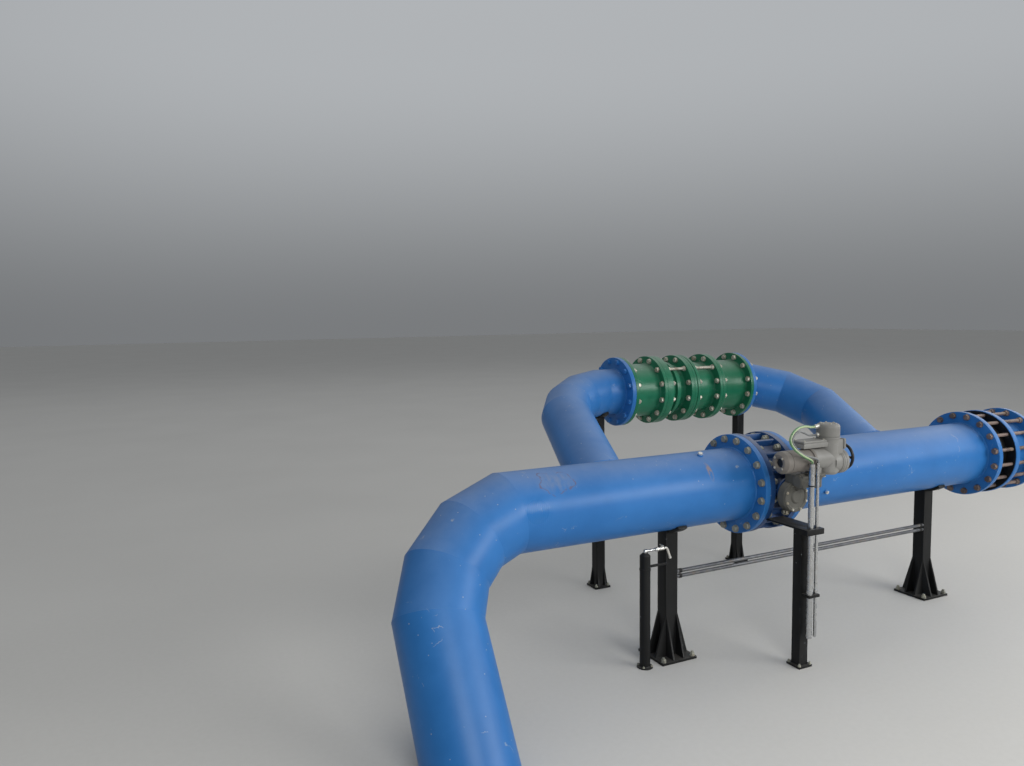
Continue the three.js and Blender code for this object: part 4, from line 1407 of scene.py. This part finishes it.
def gland(node, cable_radius):
    """A cable gland: its hexagon, the rounded nut on the cable's side, and its thread."""
    start, end, line, size = lying(node)
    place = turn_on(line)
    hole = cable_radius + 0.0004
    body = bmesh.new()
    turn(body, [
        (start + 0.007, 0), (start + 0.007, size * 0.94), (start + 0.008, size), (start + 0.015, size),
        (start + 0.016, size * 0.94), (start + 0.016, 0),
    ], place, 6)
    turned(body, [
        (start, hole), (start - 0.0002, cable_radius + 0.0025), (start + 0.007, size * 0.9),
        (start + 0.009, hole),
    ], 0.001, place, 32)
    bar(body, start + 0.015, end, size * 0.86, place, 32, 0.0008)
    stand_for(node, body, "bright_metal")


def cables():
    """Two glands on the side of the cap, and the cables that run to them from the conduits."""
    gland("cable_gland_1", cable_1_radius)
    gland("cable_gland_2", cable_2_radius)
    run_along("cable_1_fine", [smooth_path(route_1)], cable_1_radius, "green_sheath", 0.005, sides=16,
              instead=["cable_1"])
    run_along("cable_2_fine", [smooth_path(route_2)], cable_2_radius, "grey_sheath", 0.005, sides=16,
              instead=["cable_2"])


actuator()
actuator_motor()
actuator_drum()
handwheel()
cables()

# Standpipe and bib tap
standpipe = (-0.175, -0.062)
tap_height = 0.555
spout_tip = (-0.031, 0.502)
tap_line = Vector((0, standpipe[1], tap_height))


def tap_standpipe():
    """A capped standpipe that is clipped to the inlet support's column."""
    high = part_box("tap_standpipe")[1]
    x, y = standpipe
    foot = aimed((x, y, 0), z_axis)
    pipe = turned(bmesh.new(), [
        (0, 0), (0, 0.038), (0.006, 0.038), (0.006, 0.028, 0.001), (0.01, 0.025, 0.002),
        (0.535, 0.025, 0.004), (high.z - 0.0015, 0.0125, 0.002), (high.z, 0.011), (high.z, 0),
    ], 0.001, foot, 48, 4)
    block(pipe, (x, -0.045, 0.465), (high.x, -0.028, 0.473), 0.001)
    band(pipe, 0.464, 0.474, 0.0245, 0.0268, foot, 48, 0.0008, 3)
    stand_for("tap_standpipe", pipe, "black_paint")
    bolt = bmesh.new()
    nut_at(bolt, 0, 1, 0.006, 0.5)
    set_round("standpipe_anchors", bolt, 4, 0.0318, (x, y, 0.006), "dull_bolt", roll=math.tau,
              aim=turn_up, seed=71)


def tap_feed_pipe():
    """A thin pipe up from the standpipe's cap, and across to the tap."""
    x, y = standpipe
    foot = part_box("tap_standpipe")[1].z
    top = tap_height + 0.0075
    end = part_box("tap_body")[0].x
    feed = turned(bmesh.new(), [
        (foot, 0), (foot, 0.0085, 0), (tap_height, 0.0085, 0.006), (top, 0.006, 0.004), (top, 0),
    ], 0.0015, aimed((x, y, 0), z_axis), 40)
    turned(feed, [
        (x, 0), (x, 0.008, 0), (x + 0.012, 0.008), (x + 0.0125, 0.006), (end - 0.0125, 0.006),
        (end - 0.012, 0.0085), (end, 0.0085), (end, 0),
    ], 0.0006, turn_on(tap_line), 40)
    stand_for("tap_feed_pipe", feed, "galvanised_tube")


def tap_body():
    """The tap's body with its hexagon and the stem of its key."""
    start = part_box("tap_body")[0].x
    place = turn_on(tap_line)
    body = bmesh.new()
    turn(body, [
        (start, 0), (start, 0.008), (start + 0.001, 0.0092), (start + 0.008, 0.0092), (start + 0.009, 0.008),
        (start + 0.009, 0),
    ], place, 6)
    turned(body, [
        (start + 0.008, 0), (start + 0.008, 0.0062, 0), (start + 0.014, 0.0062),
        (start + 0.019, 0.0085, 0.003), (start + 0.035, 0.0088, 0.005), (start + 0.044, 0.0058, 0.003),
        (start + 0.048, 0.0058, 0), (start + 0.048, 0),
    ], 0.002, place, 40, 4)
    stem = aimed((start + 0.027, standpipe[1], tap_height), z_axis)
    bar(body, 0, 0.0075, 0.0052, stem, 32, 0.0005)
    turn(body, [(0.0035, 0), (0.0035, 0.0062), (0.0068, 0.0062), (0.0074, 0.0056), (0.0074, 0)], stem, 6)
    stand_for("tap_body", body, "bright_metal")


def tap_spout():
    """The curved spout with a lip at its mouth."""
    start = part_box("tap_body")[0].x
    bend = [
        tap_line + x_axis * (start + 0.044),
        tap_line + Vector((start + 0.054, 0, -0.001)),
        tap_line + Vector((start + 0.0615, 0, -0.011)),
        tap_line + Vector((start + 0.067, 0, -0.026)),
        Vector((spout_tip[0], standpipe[1], spout_tip[1])),
    ]
    run_along("tap_spout", [smooth_path(bend, 6)], 0.0058, "bright_metal", 0.003, sides=24)
    down = (bend[-1] - bend[-2]).normalized()
    lip = band(bmesh.new(), -0.008, 0.0004, 0.0055, 0.0068, aimed(bend[-1], down), 32, steps=3)
    add_piece("tap_spout_lip", lip, "bright_metal")


def tap_handle():
    """The key that turns: a short stem with a cross bar."""
    low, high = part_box("tap_handle")
    middle = (low + high) / 2
    upright = aimed((middle.x, middle.y, 0), z_axis)
    reach = (high.y - low.y) / 2
    grip = 0.0028
    tip = grip + 0.0002
    key = bar(bmesh.new(), low.z, high.z - 0.0005, 0.0035, upright, 32, 0.0008)
    turned(key, [
        (-reach, 0), (-reach, tip, 0.002), (-reach * 0.6, grip), (reach * 0.6, grip), (reach, tip, 0.002),
        (reach, 0),
    ], 0.002, aimed((middle.x, middle.y, high.z - grip), y_axis), 24, 4)
    stand_for("tap_handle", key, "bright_metal", "tap_key")


tap_standpipe()
tap_feed_pipe()
tap_body()
tap_spout()
tap_handle()


# Small tappings in the main line

def tapping(name, point, size):
    """A threaded boss on the pipe with a hexagon plug in it."""
    off = point - main_line
    outward = Vector((0, off.y, off.z)).normalized()
    foot = Vector((point.x, 0, main_line.z)) + outward * (main_outer - 0.004)
    high = 0.011
    outline = [(0, 0), (0, size, 0), (high, size), (high, 0)]
    boss = turned(bmesh.new(), outline, 0.0015, aimed(foot, outward), 32)
    plug = bmesh.new()
    hexagon(plug, 0, 0.009, size)
    bmesh.ops.transform(plug, verts=plug.verts[:], matrix=aimed(foot + outward * high, outward))
    add_piece(f"{name}_boss", boss, "blue_paint")
    add_piece(f"{name}_plug", plug, "bright_metal")


tapping("top_tapping", Vector((0.148, -0.053, 0.973)), 0.014)
tapping("side_tapping", Vector((0.853, -0.168, 0.745)), 0.011)


# Floor and light

def set_stage():
    look = Finish("pale floor")
    sheet = look.sheet
    broad = sheet.noise(look.place, 0.8, 3.0)
    fine = sheet.noise(look.place, 40.0, 2.0)
    colour = sheet.blend(broad * 0.6 + fine * 0.4, tint(190, 188, 184), tint(206, 204, 200))
    material = look.close(colour, 0.75 + fine * 0.1, fine * 0.0002)
    bm = bmesh.new()
    bmesh.ops.create_grid(bm, x_segments=1, y_segments=1, size=60.0)
    floor = placed("floor", mesh_from(bm, "floor"))
    floor.data.materials.append(material)


def lamp(name, place, target, wide, high, watts, colour):
    light = bpy.data.lights.new(name, "AREA")
    light.shape = "RECTANGLE"
    light.size = wide
    light.size_y = high
    light.energy = watts
    light.color = colour
    made = bpy.data.objects.new(name, light)
    direction = Vector(target) - Vector(place)
    made.matrix_world = Matrix.Translation(place) @ direction.to_track_quat("-Z", "Y").to_matrix().to_4x4()
    bpy.context.scene.collection.objects.link(made)


def set_light():
    """A soft room, brighter overhead and towards +X and +Y, and large lamps above, near and to the right."""
    world = bpy.data.worlds.new("soft room")
    world.use_nodes = True
    world.node_tree.nodes.clear()
    sheet = Sheet(world.node_tree)
    along = sheet.part(sheet.node("ShaderNodeTexCoord", out="Generated"), "X")
    upward = along.other("Z")
    beyond = along * 0.6 + along.other("Y") * 0.8
    far_side = 0.2 + sheet.step(beyond, -0.1, 0.9) * 0.36
    strength = far_side * (0.45 + sheet.step(upward, -0.02, 0.3) * 0.55) + sheet.step(upward, 0.2, 0.9) * 0.12
    room = sheet.node("ShaderNodeBackground", None, {"Color": tint(226, 230, 234), "Strength": strength})
    sheet.node("ShaderNodeOutputWorld", None, {"Surface": room})
    bpy.context.scene.world = world
    lamp("ceiling", (3.0, 5.0, 9.0), (3.0, 5.0, 0), 26.0, 22.0, 440, (0.96, 0.98, 1.0))
    lamp("near_left", (-1.5, -3.8, 2.6), (-1.1, -0.3, 0.5), 2.0, 1.4, 66, (1.0, 1.0, 0.98))
    lamp("near_right", (3.4, -4.6, 2.8), (0.2, 0, 0.8), 4.0, 1.8, 185, (1.0, 1.0, 0.98))
    lamp("right", (6.5, -0.5, 3.0), (0, 0, 0.8), 6.0, 2.4, 90, (1.0, 0.99, 0.97))


set_stage()
set_light()
bpy.context.scene.view_settings.view_transform = "Standard"
